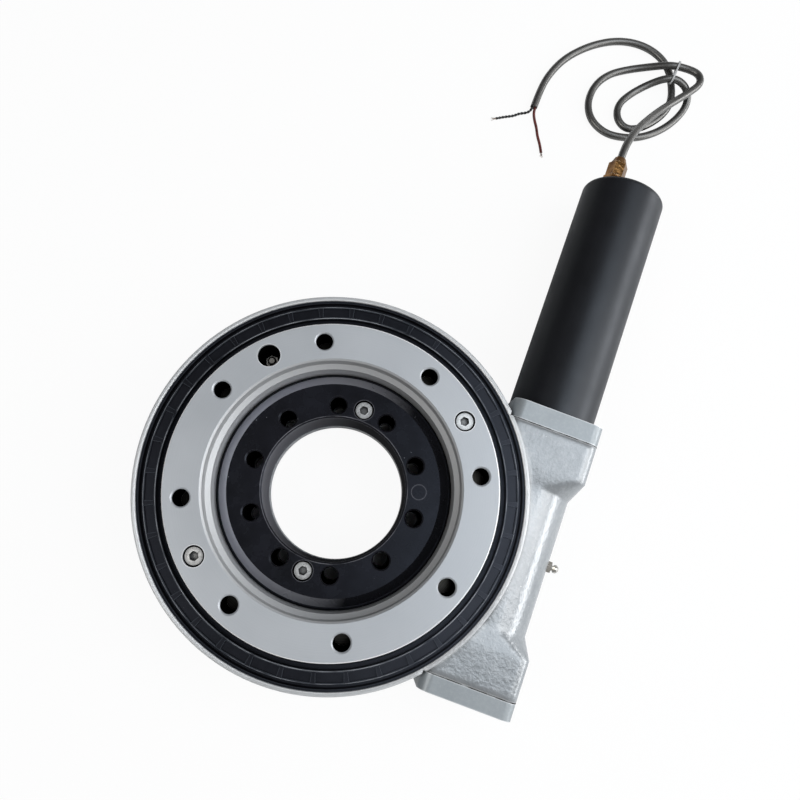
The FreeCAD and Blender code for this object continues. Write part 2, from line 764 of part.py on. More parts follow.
# Cap screws are turned blanks with a hexagon socket, set out in groups
def make_cap_screw(label, shank, head, head_height, length, socket_width, socket_depth):
    """Screw pointing down, its head resting on level zero"""
    body = doc.addObject("PartDesign::Body", label + "_pattern")
    edge = "screw_edge"
    revolve(body, label + "_blank", [
        ("0", f"-({length})"),
        (shank, f"-({length})"),
        (shank, "0"),
        (head, "0"),
        (head, f"{head_height} - {edge}"),
        (f"{head} - {edge}", head_height),
        ("0", head_height),
    ])
    hexagon(body, "SubtractivePrism", label + "_socket", socket_width, socket_depth,
            f"{head_height} - {socket_depth}")
    return body


def make_group(label, pattern, places):
    """One node holding a copy of the pattern at each place"""
    doc.recompute()
    copies = []
    for place in places:
        copy = pattern.Shape.copy()
        copy.Placement = place
        copies.append(copy)
    group = doc.addObject("Part::Feature", label)
    group.Label = label
    group.Shape = Part.makeCompound(copies)
    parts.append(group)


def circle_places(diameter, first_angle, level):
    """Places of the ring screws about the slewing axis"""
    places = []
    count = int(size("ring_screw_count"))
    radius = size(diameter) / 2
    for index in range(count):
        angle = math.radians(size(first_angle) + full_turn / count * index)
        point = Vector(radius * math.cos(angle), radius * math.sin(angle), value(level))
        places.append(Placement(point, Rotation()))
    return places


def make_ring_screws():
    head = ("cap_radius", "cap_head_radius", "cap_head_height")
    socket = ("cap_socket_width", "cap_socket_depth")
    inner = make_cap_screw("inner_ring_screw", *head, "inner_screw_length", *socket)
    make_group("inner_ring_screws", inner, circle_places(
        "base_bolt_circle", "inner_screw_angle", "inner_ring_top - cap_seat_depth"))
    outer = make_cap_screw("output_screw", *head, "output_screw_length", *socket)
    make_group("output_flange_screws", outer, circle_places(
        "output_bolt_circle", "output_screw_angle", "drive_height - cap_seat_depth"))


def make_cover_screws():
    sizes_used = ("cover_screw_radius", "cover_head_radius", "cover_head_height")
    socket = ("cover_socket_width", "cover_socket_depth")
    for label, length, face, towards in (
        ("motor_plate_screws", "motor_plate_thickness", size("motor_seat"), quarter_turn),
        ("end_cover_screws", "end_cover_thickness",
         value("-plate_seat - end_cover_thickness"), -quarter_turn),
    ):
        reach = f"{length} - cover_seat_depth + gasket_thickness + cover_screw_length - running_gap"
        screw = make_cap_screw(label[:-1], *sizes_used, reach, *socket)
        seat = face - math.copysign(size("cover_seat_depth"), face)
        places = []
        for across in (-1, 1):
            for up in (-1, 1):
                point = Vector(size("centre_distance") + across * size("cover_screw_offset"), seat,
                               size("worm_height") + up * size("cover_screw_offset"))
                places.append(Placement(point, Rotation(Vector(1, 0, 0), -towards)))
        make_group(label, screw, places)


def make_dowel_pin():
    body = new_body("dowel_pin")
    cylinder(body, "AdditiveCylinder", "dowel_bar", "dowel_radius", "dowel_length",
             z="inner_ring_top - dowel_length", **on_circle("base_bolt_circle", "dowel_angle"))
    return body


# Worm with its hollow drive end, on two taper roller bearings
def make_worm():
    body = turned("worm", [
        ("0", "0"),
        ("bearing_bore_radius - fit_gap", "0"),
        ("bearing_bore_radius - fit_gap", "worm_tail - bearing_back"),
        ("worm_shoulder_radius", "worm_tail - bearing_back"),
        ("worm_shoulder_radius", "worm_tail - worm_core_half"),
        ("worm_root_radius", "worm_tail - worm_core_half"),
        ("worm_root_radius", "worm_tail + worm_core_half"),
        ("worm_shoulder_radius", "worm_tail + worm_core_half"),
        ("worm_shoulder_radius", "worm_tail + bearing_back"),
        ("bearing_bore_radius - fit_gap", "worm_tail + bearing_back"),
        ("bearing_bore_radius - fit_gap", "worm_tail + worm_head"),
        ("0", "worm_tail + worm_head"),
    ], "worm", y="-worm_tail")
    half = "pi * gear_module / 4 - tooth_thinning"
    slope = "tan(pressure_angle)"
    middle = "(worm_tail - worm_lead * worm_turns / 2)"
    wide = f"({half} + (gear_module + root_clearance) * {slope})"
    narrow = f"({half} - gear_module * {slope})"
    sketch = outline(body, "thread_outline", [
        ("-worm_root_radius + fit_gap", f"{middle} - {wide}"),
        ("-worm_tip_radius", f"{middle} - {narrow}"),
        ("-worm_tip_radius", f"{middle} + {narrow}"),
        ("-worm_root_radius + fit_gap", f"{middle} + {wide}"),
    ])
    feature(body, "AdditiveHelix", "worm_thread", {"Pitch": "worm_lead", "Height": "worm_lead * worm_turns"},
            Profile=sketch, ReferenceAxis=(sketch, ["V_Axis"]), Mode=0)
    drill(body, "drive_bore", "worm_bore_radius", "worm_bore_depth",
          z="worm_tail + worm_head - worm_bore_depth")
    feature(body, "SubtractiveBox", "worm_keyway", {
        "Length": "worm_bore_radius + key_height / 2 + fit_gap", "Width": "key_width + 2 * fit_gap",
        "Height": "worm_bore_depth", "Placement.Base.y": "-key_width / 2 - fit_gap",
        "Placement.Base.z": "worm_tail + worm_head - worm_bore_depth",
    })
    return body


def taper_offsets():
    """Race radii at the two faces of the bearing, as expressions"""
    reach = "(roller_mean_radius + roller_gap)"
    cup = f"roller_circle_radius + {reach} * (cos(roller_tilt) + sin(roller_tilt) * cup_slope)"
    cone = f"roller_circle_radius - {reach} * (cos(roller_tilt) + sin(roller_tilt) * cone_slope)"
    return {
        "cone_small": f"{cone} - bearing_width / 2 * cone_slope",
        "cone_large": f"{cone} + bearing_width / 2 * cone_slope",
        "cup_small": f"{cup} - bearing_width / 2 * cup_slope",
        "cup_large": f"{cup} + bearing_width / 2 * cup_slope",
    }


def make_bearing(prefix, facing):
    """Taper roller bearing whose large end looks away from the worm thread"""
    race = taper_offsets()
    turn = Rotation(Vector(1, 0, 0), -quarter_turn * facing)
    start = f"{facing} * bearing_back"
    cone = turned(prefix + "_bearing_cone", [
        ("bearing_bore_radius", "fit_gap"),
        (race["cone_small"], "fit_gap"),
        (race["cone_large"], "bearing_width - fit_gap"),
        ("bearing_bore_radius", "bearing_width - fit_gap"),
    ], "worm", y=start)
    cup = turned(prefix + "_bearing_cup", [
        (race["cup_small"], "fit_gap"),
        ("bearing_outer_radius", "fit_gap"),
        ("bearing_outer_radius", "bearing_width - fit_gap"),
        (race["cup_large"], "bearing_width - fit_gap"),
    ], "worm", y=start)
    for body in (cone, cup):
        body.Placement = Placement(body.Placement.Base, turn)
    roller = Part.makeCone(size("roller_small_radius"), size("roller_large_radius"), size("roller_length"))
    roller.translate(Vector(0, 0, -size("roller_length") / 2))
    roller.rotate(Vector(), Vector(0, 1, 0), size("roller_tilt"))
    roller.translate(Vector(size("roller_circle_radius"), 0, size("bearing_width") / 2))
    rollers = []
    for index in range(int(size("roller_count"))):
        copy = roller.copy()
        copy.rotate(Vector(), Vector(0, 0, 1), full_turn / size("roller_count") * index)
        rollers.append(copy)
    group = doc.addObject("Part::Feature", prefix + "_bearing_rollers")
    group.Label = prefix + "_bearing_rollers"
    group.Shape = Part.makeCompound(rollers)
    middle = Vector(size("centre_distance"), facing * size("bearing_back"), size("worm_height"))
    group.Placement = Placement(middle, turn)
    parts.append(group)


# Covers of the worm tunnel with their gaskets
def cover_plate(body, name, thickness, level):
    square = rounded_square(body, name + "_square", "block_width", "block_corner", level=level)
    feature(body, "Pad", name + "_plate", {"Length": thickness}, Profile=square)


def corner_holes(body, name, radius, depth, level):
    first = drill(body, name + "_hole", radius, depth, "cover_screw_offset", "cover_screw_offset", level)
    ring_of(body, name + "_holes", [first], plate_corners)


def make_gasket(label, start):
    body = new_body(label, "worm", y=start)
    cover_plate(body, label, "gasket_thickness", "0")
    drill(body, label + "_bore", "bearing_outer_radius + fit_gap", "gasket_thickness")
    corner_holes(body, label + "_screw", "cover_screw_radius + fit_gap", "gasket_thickness", "0")
    return body


def make_end_cover():
    body = new_body("end_cover", "worm", y="-plate_seat - end_cover_thickness")
    cover_plate(body, "end_cover", "end_cover_thickness", "0")
    depth = "(gasket_thickness + bearing_depth)"
    cylinder(body, "AdditiveCylinder", "end_spigot", "bearing_outer_radius", depth, z="end_cover_thickness")
    drill(body, "end_hollow", "cover_hollow_radius", "cover_hollow_depth",
          z=f"end_cover_thickness + {depth} - cover_hollow_depth")
    corner_holes(body, "end_screw", "cover_screw_radius + fit_gap", "end_cover_thickness", "0")
    corner_holes(body, "end_head", "cover_head_radius + head_clearance", "cover_seat_depth", "0")
    return body


def make_motor_plate():
    body = new_body("motor_plate", "worm", y="bearing_face")
    depth = "(gasket_thickness + bearing_depth)"
    cylinder(body, "AdditiveCylinder", "plate_spigot", "bearing_outer_radius", depth)
    cover_plate(body, "motor_plate", "motor_plate_thickness", depth)
    drill(body, "shaft_seal_pocket", "shaft_seal_radius + fit_gap", "worm_head - bearing_face + seal_gap")
    drill(body, "bush_seat", "bush_radius + fit_gap", "bush_length",
          z=f"{depth} + motor_plate_thickness - bush_length")
    drill(body, "shaft_bore", "worm_bore_radius + shaft_bore_gap", f"{depth} + motor_plate_thickness")
    corner_holes(body, "plate_screw", "cover_screw_radius + fit_gap", "motor_plate_thickness", depth)
    corner_holes(body, "plate_head", "cover_head_radius + head_clearance", "cover_seat_depth",
                 f"{depth} + motor_plate_thickness - cover_seat_depth")
    hole = drill(body, "gearbox_screw_hole", "gearbox_screw_radius + fit_gap", "motor_plate_thickness",
                 z=depth, **on_circle("2 * gearbox_screw_circle", "180 / ring_teeth"))
    ring_of(body, "gearbox_screw_holes", [hole], "gearbox_screw_count")
    return body


def make_shaft_parts():
    turned("worm_shaft_seal", ring_points(
        "bearing_bore_radius + seal_gap", "shaft_seal_radius", "0", "shaft_seal_width"),
        "worm", y="worm_head - shaft_seal_width")
    turned("carrier_bush", ring_points(
        "worm_bore_radius - fit_gap + running_gap", "bush_radius", "0", "bush_length"),
        "worm", y="motor_seat - bush_length")
    key = new_body("shaft_key", "worm", y="worm_head - key_length")
    feature(key, "AdditiveBox", "key_bar", {
        "Length": "key_height", "Width": "key_width", "Height": "key_length",
        "Placement.Base.x": "worm_bore_radius - key_height / 2", "Placement.Base.y": "-key_width / 2",
    })


# Planetary stage between motor and worm
def spur_teeth(body, name, pitch, outward, width, teeth, level="0"):
    """Straight teeth on a blank; outward is 1 on a pinion and -1 inside a ring"""
    half = "(pi * planet_module / 4 - planet_backlash)"
    slope = "tan(pressure_angle)"
    deep = "(planet_module + planet_root_clearance)"
    points = tooth_outline(
        f"{pitch} - {outward} * ({deep} + fit_gap)", pitch, f"{pitch} + {outward} * planet_addendum",
        f"{half} + {deep} * {slope}", half, f"{half} - planet_addendum * {slope}")
    if outward < 0:
        points.reverse()
    sketch = outline(body, name + "_tooth_outline", points, "XY_Plane", level)
    tooth = feature(body, "Pad", name + "_tooth", {"Length": width}, Profile=sketch)
    ring_of(body, name + "_teeth", [tooth], teeth)


def make_gearbox():
    pitch = "(planet_module * ring_teeth / 2)"
    deep = "planet_module + planet_root_clearance"
    ring = turned("ring_gear", ring_points(f"{pitch} + {deep}", "gearbox_radius", "0", "gearbox_length"),
                  "worm", y="motor_seat")
    half_pitch_turn = half_turn / size("ring_teeth")
    spur_teeth(ring, "ring", pitch, -1, "gearbox_length", "ring_teeth")
    hole = drill(ring, "ring_screw_hole", "gearbox_screw_radius + fit_gap", "gearbox_length",
                 "gearbox_screw_circle", "0", "0")
    ring_of(ring, "ring_screw_holes", [hole], "gearbox_screw_count")
    ring.Placement = Placement(ring.Placement.Base,
                               turns["worm"] * Rotation(Vector(0, 0, 1), half_pitch_turn))
    cover = turned("gearbox_cover", ring_points(
        "motor_bearing_radius + fit_gap", "gearbox_radius", "0", "gearbox_cover_thickness"),
        "worm", y="motor_seat + gearbox_length")
    hole = drill(cover, "cover_shank_hole", "gearbox_screw_radius + fit_gap", "gearbox_cover_thickness",
                 "gearbox_screw_circle", "0", "0")
    seat = drill(cover, "cover_head_seat", "gearbox_head_radius + 2 * fit_gap", "gearbox_head_height",
                 "gearbox_screw_circle", "0", "gearbox_cover_thickness - gearbox_head_height")
    ring_of(cover, "cover_screw_seats", [hole, seat], "gearbox_screw_count")
    cover.Placement = Placement(cover.Placement.Base,
                                turns["worm"] * Rotation(Vector(0, 0, 1), half_pitch_turn))
    return half_pitch_turn


def make_planets():
    carrier = turned("planet_carrier", [
        ("0", "0"),
        ("worm_bore_radius - fit_gap", "0"),
        ("worm_bore_radius - fit_gap", "carrier_shank"),
        ("carrier_radius", "carrier_shank"),
        ("carrier_radius", "carrier_shank + carrier_thickness"),
        ("0", "carrier_shank + carrier_thickness"),
    ], "worm", y="carrier_foot")
    pin = drill(carrier, "pin_hole", "planet_pin_radius + fit_gap", "carrier_thickness",
                "planet_circle", "0", "carrier_shank")
    ring_of(carrier, "pin_holes", [pin], "planet_count")
    feature(carrier, "SubtractiveBox", "carrier_keyway", {
        "Length": "worm_bore_radius", "Width": "key_width + 2 * fit_gap", "Height": "key_length",
        "Placement.Base.x": "worm_bore_radius - key_height / 2 - fit_gap",
        "Placement.Base.y": "-key_width / 2 - fit_gap",
        "Placement.Base.z": "worm_head - carrier_foot - key_length",
    })
    pins = []
    count = int(size("planet_count"))
    for index in range(count):
        angle = f"360 / planet_count * {index}"
        pin = doc.addObject("Part::Cylinder", f"planet_pin_{index + 1}")
        pin.Placement = Placement(Vector(), turns["worm"])
        bind(pin, {"Radius": "planet_pin_radius", "Height": "carrier_thickness + planet_gap + planet_width",
                   "Placement.Base.x": f"centre_distance + planet_circle * cos({angle})",
                   "Placement.Base.y": "carrier_start",
                   "Placement.Base.z": f"worm_height - planet_circle * sin({angle})"})
        pins.append(pin)
    group = doc.addObject("Part::Compound", "planet_pins")
    group.Label = "planet_pins"
    group.Links = pins
    parts.append(group)
    pitch = "(planet_module * planet_teeth / 2)"
    deep = "planet_module + planet_root_clearance"
    for index in range(count):
        label = f"planet_gear_{index + 1}"
        angle = f"360 / planet_count * {index}"
        planet = turned(label, ring_points(
            "planet_pin_radius + running_gap", f"{pitch} - ({deep})", "0", "planet_width"), "worm",
            x=f"planet_circle * cos({angle})", y="planet_start", z=f"-planet_circle * sin({angle})")
        spur_teeth(planet, label, pitch, 1, "planet_width", "planet_teeth")


def make_gearbox_screws(half_pitch_turn):
    screw = make_cap_screw("gearbox_screw", "gearbox_screw_radius", "gearbox_head_radius - fit_gap",
                           "gearbox_head_height - fit_gap", "gearbox_screw_length",
                           "gearbox_socket_width", "gearbox_head_height / 2")
    level = size("can_start") - size("gearbox_head_height")
    places = []
    count = int(size("gearbox_screw_count"))
    for index in range(count):
        angle = math.radians(half_pitch_turn + full_turn / count * index)
        point = Vector(size("centre_distance") + size("gearbox_screw_circle") * math.cos(angle), level,
                       size("worm_height") - size("gearbox_screw_circle") * math.sin(angle))
        places.append(Placement(point, turns["worm"]))
    make_group("gearbox_screws", screw, places)


# Permanent-magnet motor in its can, inside a smooth outer casing
def make_motor():
    casing = turned("motor_casing", [
        ("motor_bore_radius", "0"),
        ("motor_radius", "0"),
        ("motor_radius", "motor_length - motor_end_round", "motor_radius - motor_end_round"),
        ("motor_radius - motor_end_round", "motor_length"),
        ("0", "motor_length"),
        ("0", "motor_length - motor_end_wall"),
        ("motor_bore_radius", "motor_length - motor_end_wall"),
    ], "worm", y="motor_seat")
    drill(casing, "gland_hole", "gland_thread_radius + fit_gap", "motor_length",
          "gland_shift", "-gland_rise", "motor_length / 2")
    turned("motor_can", ring_points("can_bore_radius", "gearbox_radius", "0", "can_length"),
           "worm", y="can_start")
    bell = turned("rear_bell", ring_points(
        "motor_bearing_radius + fit_gap", "gearbox_radius", "0", "rear_bell_thickness"),
        "worm", y="can_start + can_length")
    drill(bell, "lead_hole", "cable_radius", "rear_bell_thickness", "gland_shift", "-gland_rise", "0")
    for label, start in (("front_motor_bearing", "can_start - gearbox_cover_thickness"),
                         ("rear_motor_bearing", "can_start + can_length")):
        turned(label, ring_points("rotor_shaft_radius + running_gap", "motor_bearing_radius", "0",
                                  "motor_bearing_width"), "worm", y=start)
    make_magnets()
    make_rotor()
    make_brushes()


def make_magnets():
    outer = size("can_bore_radius") - size("fit_gap")
    inner = size("magnet_bore_radius")
    length = size("magnet_length")
    shells = []
    for index in range(2):
        first = half_turn * index - size("magnet_angle") / 2
        shell = Part.makeCylinder(outer, length, Vector(), Vector(0, 0, 1), size("magnet_angle"))
        core = Part.makeCylinder(inner, length, Vector(), Vector(0, 0, 1), size("magnet_angle"))
        arc = shell.cut(core)
        arc.rotate(Vector(), Vector(0, 0, 1), first)
        shells.append(arc)
    group = doc.addObject("Part::Feature", "motor_magnets")
    group.Label = "motor_magnets"
    group.Shape = Part.makeCompound(shells)
    group.Placement = Placement(Vector(size("centre_distance"), size("can_start") + size("magnet_start"),
                                       size("worm_height")), turns["worm"])
    parts.append(group)


def make_rotor():
    shaft_end = "can_start + can_length + motor_bearing_width"
    sun_pitch = "(planet_module * sun_teeth / 2)"
    deep = "planet_module + planet_root_clearance"
    shaft = turned("rotor_shaft", [
        ("0", "0"),
        (f"{sun_pitch} - ({deep})", "0"),
        (f"{sun_pitch} - ({deep})", "planet_width"),
        ("rotor_shaft_radius", "planet_width"),
        ("rotor_shaft_radius", f"{shaft_end} - planet_start"),
        ("0", f"{shaft_end} - planet_start"),
    ], "worm", y="planet_start")
    spur_teeth(shaft, "sun", sun_pitch, 1, "planet_width", "sun_teeth")
    shaft.Placement = Placement(shaft.Placement.Base,
                                turns["worm"] * Rotation(Vector(0, 0, 1), half_turn / size("sun_teeth")))
    core = turned("armature_core", ring_points(
        "rotor_shaft_radius + fit_gap", "core_radius_outer", "0", "core_length"),
        "worm", y="can_start + core_start")
    slot = feature(core, "SubtractiveBox", "winding_slot", {
        "Length": "slot_depth + air_gap", "Width": "slot_width", "Height": "core_length",
        "Placement.Base.x": "core_radius_outer - slot_depth", "Placement.Base.y": "-slot_width / 2",
    })
    ring_of(core, "winding_slots", [slot], "core_slots")
    for label, start in (("front_winding", "core_start - winding_overhang"),
                         ("rear_winding", "core_start + core_length")):
        turned(label, [
            ("rotor_shaft_radius + fit_gap", "0"),
            ("winding_radius - winding_overhang / 3", "0"),
            ("winding_radius", "winding_overhang / 3"),
            ("winding_radius", "winding_overhang * 2 / 3"),
            ("winding_radius - winding_overhang / 3", "winding_overhang"),
            ("rotor_shaft_radius + fit_gap", "winding_overhang"),
        ], "worm", y=f"can_start + {start}")
    turned("commutator", ring_points(
        "rotor_shaft_radius + fit_gap", "commutator_radius", "0", "commutator_length"),
        "worm", y="can_start + commutator_start")


def make_brushes():
    plate = turned("brush_plate", ring_points(
        "commutator_radius + brush_plate_gap", "can_bore_radius - fit_gap", "0", "brush_plate_thickness"),
        "worm", y="brush_plate_start")
    slot = feature(plate, "SubtractiveBox", "brush_slot", {
        "Length": "brush_length + brush_plate_gap", "Width": "brush_width + 2 * fit_gap",
        "Height": "brush_height + 2 * fit_gap", "Placement.Base.x": "commutator_radius",
        "Placement.Base.y": "-brush_width / 2 - fit_gap",
        "Placement.Base.z": "(brush_plate_thickness - brush_height) / 2 - fit_gap",
    })
    ring_of(plate, "brush_slots", [slot], "2")
    brushes = []
    for index in range(2):
        brush = doc.addObject("Part::Box", f"brush_{index + 1}")
        brush.Placement = Placement(Vector(), turns["worm"])
        start = "commutator_radius + seal_gap" if index else "-commutator_radius - seal_gap - brush_length"
        bind(brush, {"Length": "brush_length", "Width": "brush_width", "Height": "brush_height",
                     "Placement.Base.x": f"centre_distance + {start}",
                     "Placement.Base.y": "brush_plate_start + (brush_plate_thickness - brush_height) / 2",
                     "Placement.Base.z": "worm_height + brush_width / 2"})
        brushes.append(brush)
    group = doc.addObject("Part::Compound", "motor_brushes")
    group.Label = "motor_brushes"
    group.Links = brushes
    parts.append(group)


# Brass cable gland through the end wall of the casing
def make_gland():
    place = {"along": "worm", "x": "gland_shift", "z": "gland_rise"}
    inside = "motor_end_wall + gland_locknut_height"
    bore = "cable_radius + gland_bore_gap"
    body = turned("gland_body", [
        (bore, "0"),
        ("gland_thread_radius", "0"),
        ("gland_thread_radius", f"{inside} + gland_hex_height"),
        ("gland_neck_radius", f"{inside} + gland_hex_height"),
        ("gland_neck_radius", f"{inside} + gland_hex_height + gland_neck_length"),
        (bore, f"{inside} + gland_hex_height + gland_neck_length"),
    ], y=f"motor_end - ({inside})", **place)
    hexagon(body, "AdditivePrism", "gland_hex", "gland_hex_width", "gland_hex_height", inside)
    drill(body, "gland_bore", bore, f"{inside} + gland_hex_height + gland_neck_length")
    locknut = new_body("gland_locknut", y=f"motor_end - ({inside})", **place)
    hexagon(locknut, "AdditivePrism", "locknut_hex", "gland_hex_width", "gland_locknut_height")
    drill(locknut, "locknut_bore", "gland_thread_radius + fit_gap", "gland_locknut_height")
    nut = turned("gland_nut", [
        (bore, "gland_nut_length - fit_gap"),
        ("gland_nut_width / 2", "gland_nut_length - fit_gap"),
        ("gland_dome_radius", "gland_nut_length + gland_dome_length"),
        (bore, "gland_nut_length + gland_dome_length"),
    ], y="motor_end + gland_hex_height", **place)
    hexagon(nut, "AdditivePrism", "nut_hex", "gland_nut_width", "gland_nut_length")
    drill(nut, "nut_bore", bore, "gland_nut_length")
    drill(nut, "nut_socket", "gland_neck_radius + fit_gap", "gland_nut_length - gland_nut_floor")
    turned("gland_bush", ring_points(
        "cable_radius + fit_gap", "gland_neck_radius",
        "gland_neck_length + fit_gap", "gland_nut_length - gland_nut_floor - fit_gap"),
        y="motor_end + gland_hex_height", **place)


def make_nipple(label, head_height, along, **place):
    """Threaded stem, hexagon, neck and round head, pointing along the body's own axis"""
    body = turned(label, [
        ("0", "0"),
        ("nipple_thread_radius", "0"),
        ("nipple_thread_radius", "nipple_thread_length + nipple_hex_height"),
        ("nipple_neck_radius", "nipple_thread_length + nipple_hex_height"),
        ("nipple_neck_radius", f"nipple_thread_length + nipple_hex_height + {head_height} / 4"),
        ("nipple_head_radius", f"nipple_thread_length + nipple_hex_height + {head_height} / 2"),
        ("nipple_head_radius", f"nipple_thread_length + nipple_hex_height + {head_height} * 3 / 4"),
        ("nipple_neck_radius", f"nipple_thread_length + nipple_hex_height + {head_height}"),
        ("0", f"nipple_thread_length + nipple_hex_height + {head_height}"),
    ], along, **place)
    hexagon(body, "AdditivePrism", label + "_hex", "nipple_hex_width", "nipple_hex_height",
            "nipple_thread_length")
    return body


def make_nipples():
    make_nipple("worm_grease_nipple", "nipple_head_height", "side",
                x="centre_distance + waist_radius - nipple_thread_length",
                y="worm_nipple_offset", z="worm_height")
    place = on_circle("output_bolt_circle", "nipple_recess_angle")
    nipple = make_nipple("ring_grease_nipple", "recess_nipple_height", "slew", **place,
                         z="drive_height - nipple_recess_depth - nipple_thread_length")
    return nipple


# Motor cable: out of the gland, down to the floor, two tied loops and a tail with two bare cores
cable_route = [
    (119.0, 313.0, 48.0), (119.1, 327.0, 48.0), (120.6, 341.0, 46.0), (125.0, 357.0, 40.5),
    (132.5, 375.0, 32.0), (141.5, 393.5, 23.5), (152.0, 411.5, 18.0), (162.0, 427.5, 16.0),
    (169.5, 440.0, 15.5), (165.5, 449.5, 14.5), (153.5, 450.0, 12.8), (140.0, 447.0, 12.8),
    (124.5, 441.5, 6.5), (109.0, 433.0, 3.1), (95.0, 422.5, 3.1), (86.0, 408.5, 3.1),
    (83.5, 392.0, 3.1), (91.0, 377.5, 3.1), (106.0, 370.0, 3.1), (122.0, 371.5, 3.1),
    (138.5, 378.5, 3.1), (153.0, 392.0, 3.1), (163.0, 408.5, 3.1), (167.0, 424.0, 4.4),
    (161.5, 433.5, 9.5), (151.0, 436.5, 12.8), (140.5, 434.0, 12.8), (128.5, 427.0, 6.5),
    (117.0, 415.0, 3.1), (109.5, 401.0, 3.1), (112.0, 387.5, 3.1), (122.5, 380.5, 3.1),
    (134.5, 386.0, 3.1), (144.5, 397.5, 3.1), (151.5, 411.0, 3.1), (152.5, 424.5, 3.1),
    (148.5, 437.5, 3.1), (142.5, 450.0, 3.1), (132.5, 459.0, 3.1), (119.0, 463.8, 3.1),
    (103.5, 463.8, 3.1), (88.5, 459.0, 3.1), (75.0, 450.5, 3.1), (62.5, 439.0, 3.1),
    (51.8, 425.0, 3.1), (44.8, 409.0, 3.1), (41.0, 391.0, 3.1), (41.0, 370.0, 3.1),
]
black_core_route = [
    (39.7, 370.0, 3.1), (39.7, 366.0, 3.1), (36.2, 363.0, 1.9), (31.0, 360.8, 1.25),
    (26.6, 356.4, 1.25), (21.0, 353.6, 1.25), (13.5, 348.7, 1.25),
]
red_core_route = [
    (42.3, 370.0, 3.1), (42.3, 365.8, 3.1), (45.0, 360.2, 1.8), (49.4, 353.6, 1.25),
    (52.6, 346.4, 1.25), (57.2, 339.6, 1.25), (60.4, 332.9, 1.25),
]
arc_share = 0.45
tied_runs = (10, 25)


def rounded_path(route):
    """Straight runs joined by tangent arcs, each as large as its two runs allow"""
    points = [Vector(*point) for point in route]
    edges = []
    radii = []
    last = points[0]
    for before, corner, after in zip(points, points[1:], points[2:]):
        back = before - corner
        ahead = after - corner
        reach = arc_share * min(back.Length, ahead.Length)
        turn = math.pi - back.getAngle(ahead)
        radius = reach / math.tan(turn / 2)
        back.normalize()
        ahead.normalize()
        start = corner + back * reach
        end = corner + ahead * reach
        bisector = back + ahead
        bisector.normalize()
        middle = corner + bisector * (radius / math.cos(turn / 2) - radius)
        edges.append(Part.LineSegment(last, start).toShape())
        edges.append(Part.Arc(start, middle, end).toShape())
        radii.append(radius)
        last = end
    edges.append(Part.LineSegment(last, points[-1]).toShape())
    return Part.Wire(edges), radii


def make_tube(label, route, radius):
    path, radii = rounded_path(route)
    start = Vector(*route[0])
    direction = Vector(*route[1]) - start
    section = Part.Wire([Part.makeCircle(radius, start, direction)])
    tube = doc.addObject("Part::Feature", label)
    tube.Label = label
    tube.Shape = path.makePipeShell([section], True, False)
    parts.append(tube)
    ratio = tube.Shape.Volume / (math.pi * radius ** 2 * path.Length)
    print(label, "length", round(path.Length, 1), "volume ratio", round(ratio, 4),
          "radii", [round(radius, 1) for radius in radii])


def make_cable():
    make_tube("cable", cable_route, size("cable_radius"))
    make_tube("black_core", black_core_route, size("core_radius"))
    make_tube("red_core", red_core_route, size("core_radius"))
    make_cable_tie()


def make_cable_tie():
    """Flat strap round the two raised strands where they cross the tail"""
    strands = [(Vector(*cable_route[run]) + Vector(*cable_route[run + 1])) / 2 for run in tied_runs]
    across = strands[1] - strands[0]
    turn = Rotation(Vector(1, 0, 0), across)
    loops = []
    for grow in (size("tie_slack"), size("tie_slack") + size("tie_thickness")):
        radius = size("cable_radius") + grow
        bar = Part.makeBox(across.Length, 2 * radius, size("tie_width"), Vector(0, -radius, 0))
        ends = [Part.makeCylinder(radius, size("tie_width"), Vector(x, 0, 0)) for x in (0, across.Length)]
        loops.append(bar.fuse(ends).removeSplitter())
    strap = loops[1].cut(loops[0])
    tie = doc.addObject("Part::Feature", "cable_tie")
    tie.Label = "cable_tie"
    tie.Shape = strap
    upright = Rotation(Vector(1, 0, 0), quarter_turn)
    tie.Placement = Placement(strands[0] + turn.multVec(Vector(0, size("tie_width") / 2, 0)), turn * upright)
    parts.append(tie)


make_housing()
make_inner_ring()
make_ring_screws()
make_dowel_pin()
make_outer_seal()
make_inner_seal()
make_output_flange()
make_worm_wheel()
make_balls()
make_ball_cage()
make_worm()
make_bearing("front", 1)
make_bearing("rear", -1)
make_end_cover()
make_motor_plate()
make_gasket("motor_plate_gasket", "housing_half_length")
make_gasket("end_cover_gasket", "-plate_seat")
make_cover_screws()
make_shaft_parts()
gearbox_turn = make_gearbox()
make_planets()
make_gearbox_screws(gearbox_turn)
make_motor()
make_gland()
make_nipples()
make_cable()
doc.recompute()

# Every object must be sound before any file is written
for item in doc.Objects:
    if "Invalid" in item.State or "Error" in item.State:
        raise RuntimeError(f"{item.Label} did not compute: {item.State}")
for part in parts:
    if part.Shape.isNull() or not part.Shape.isValid():
        raise RuntimeError(f"{part.Label} has no valid shape")
for part in parts:
    part.Shape.exportStep(f"parts/{part.Label}.step")
print(len(parts), "parts written")
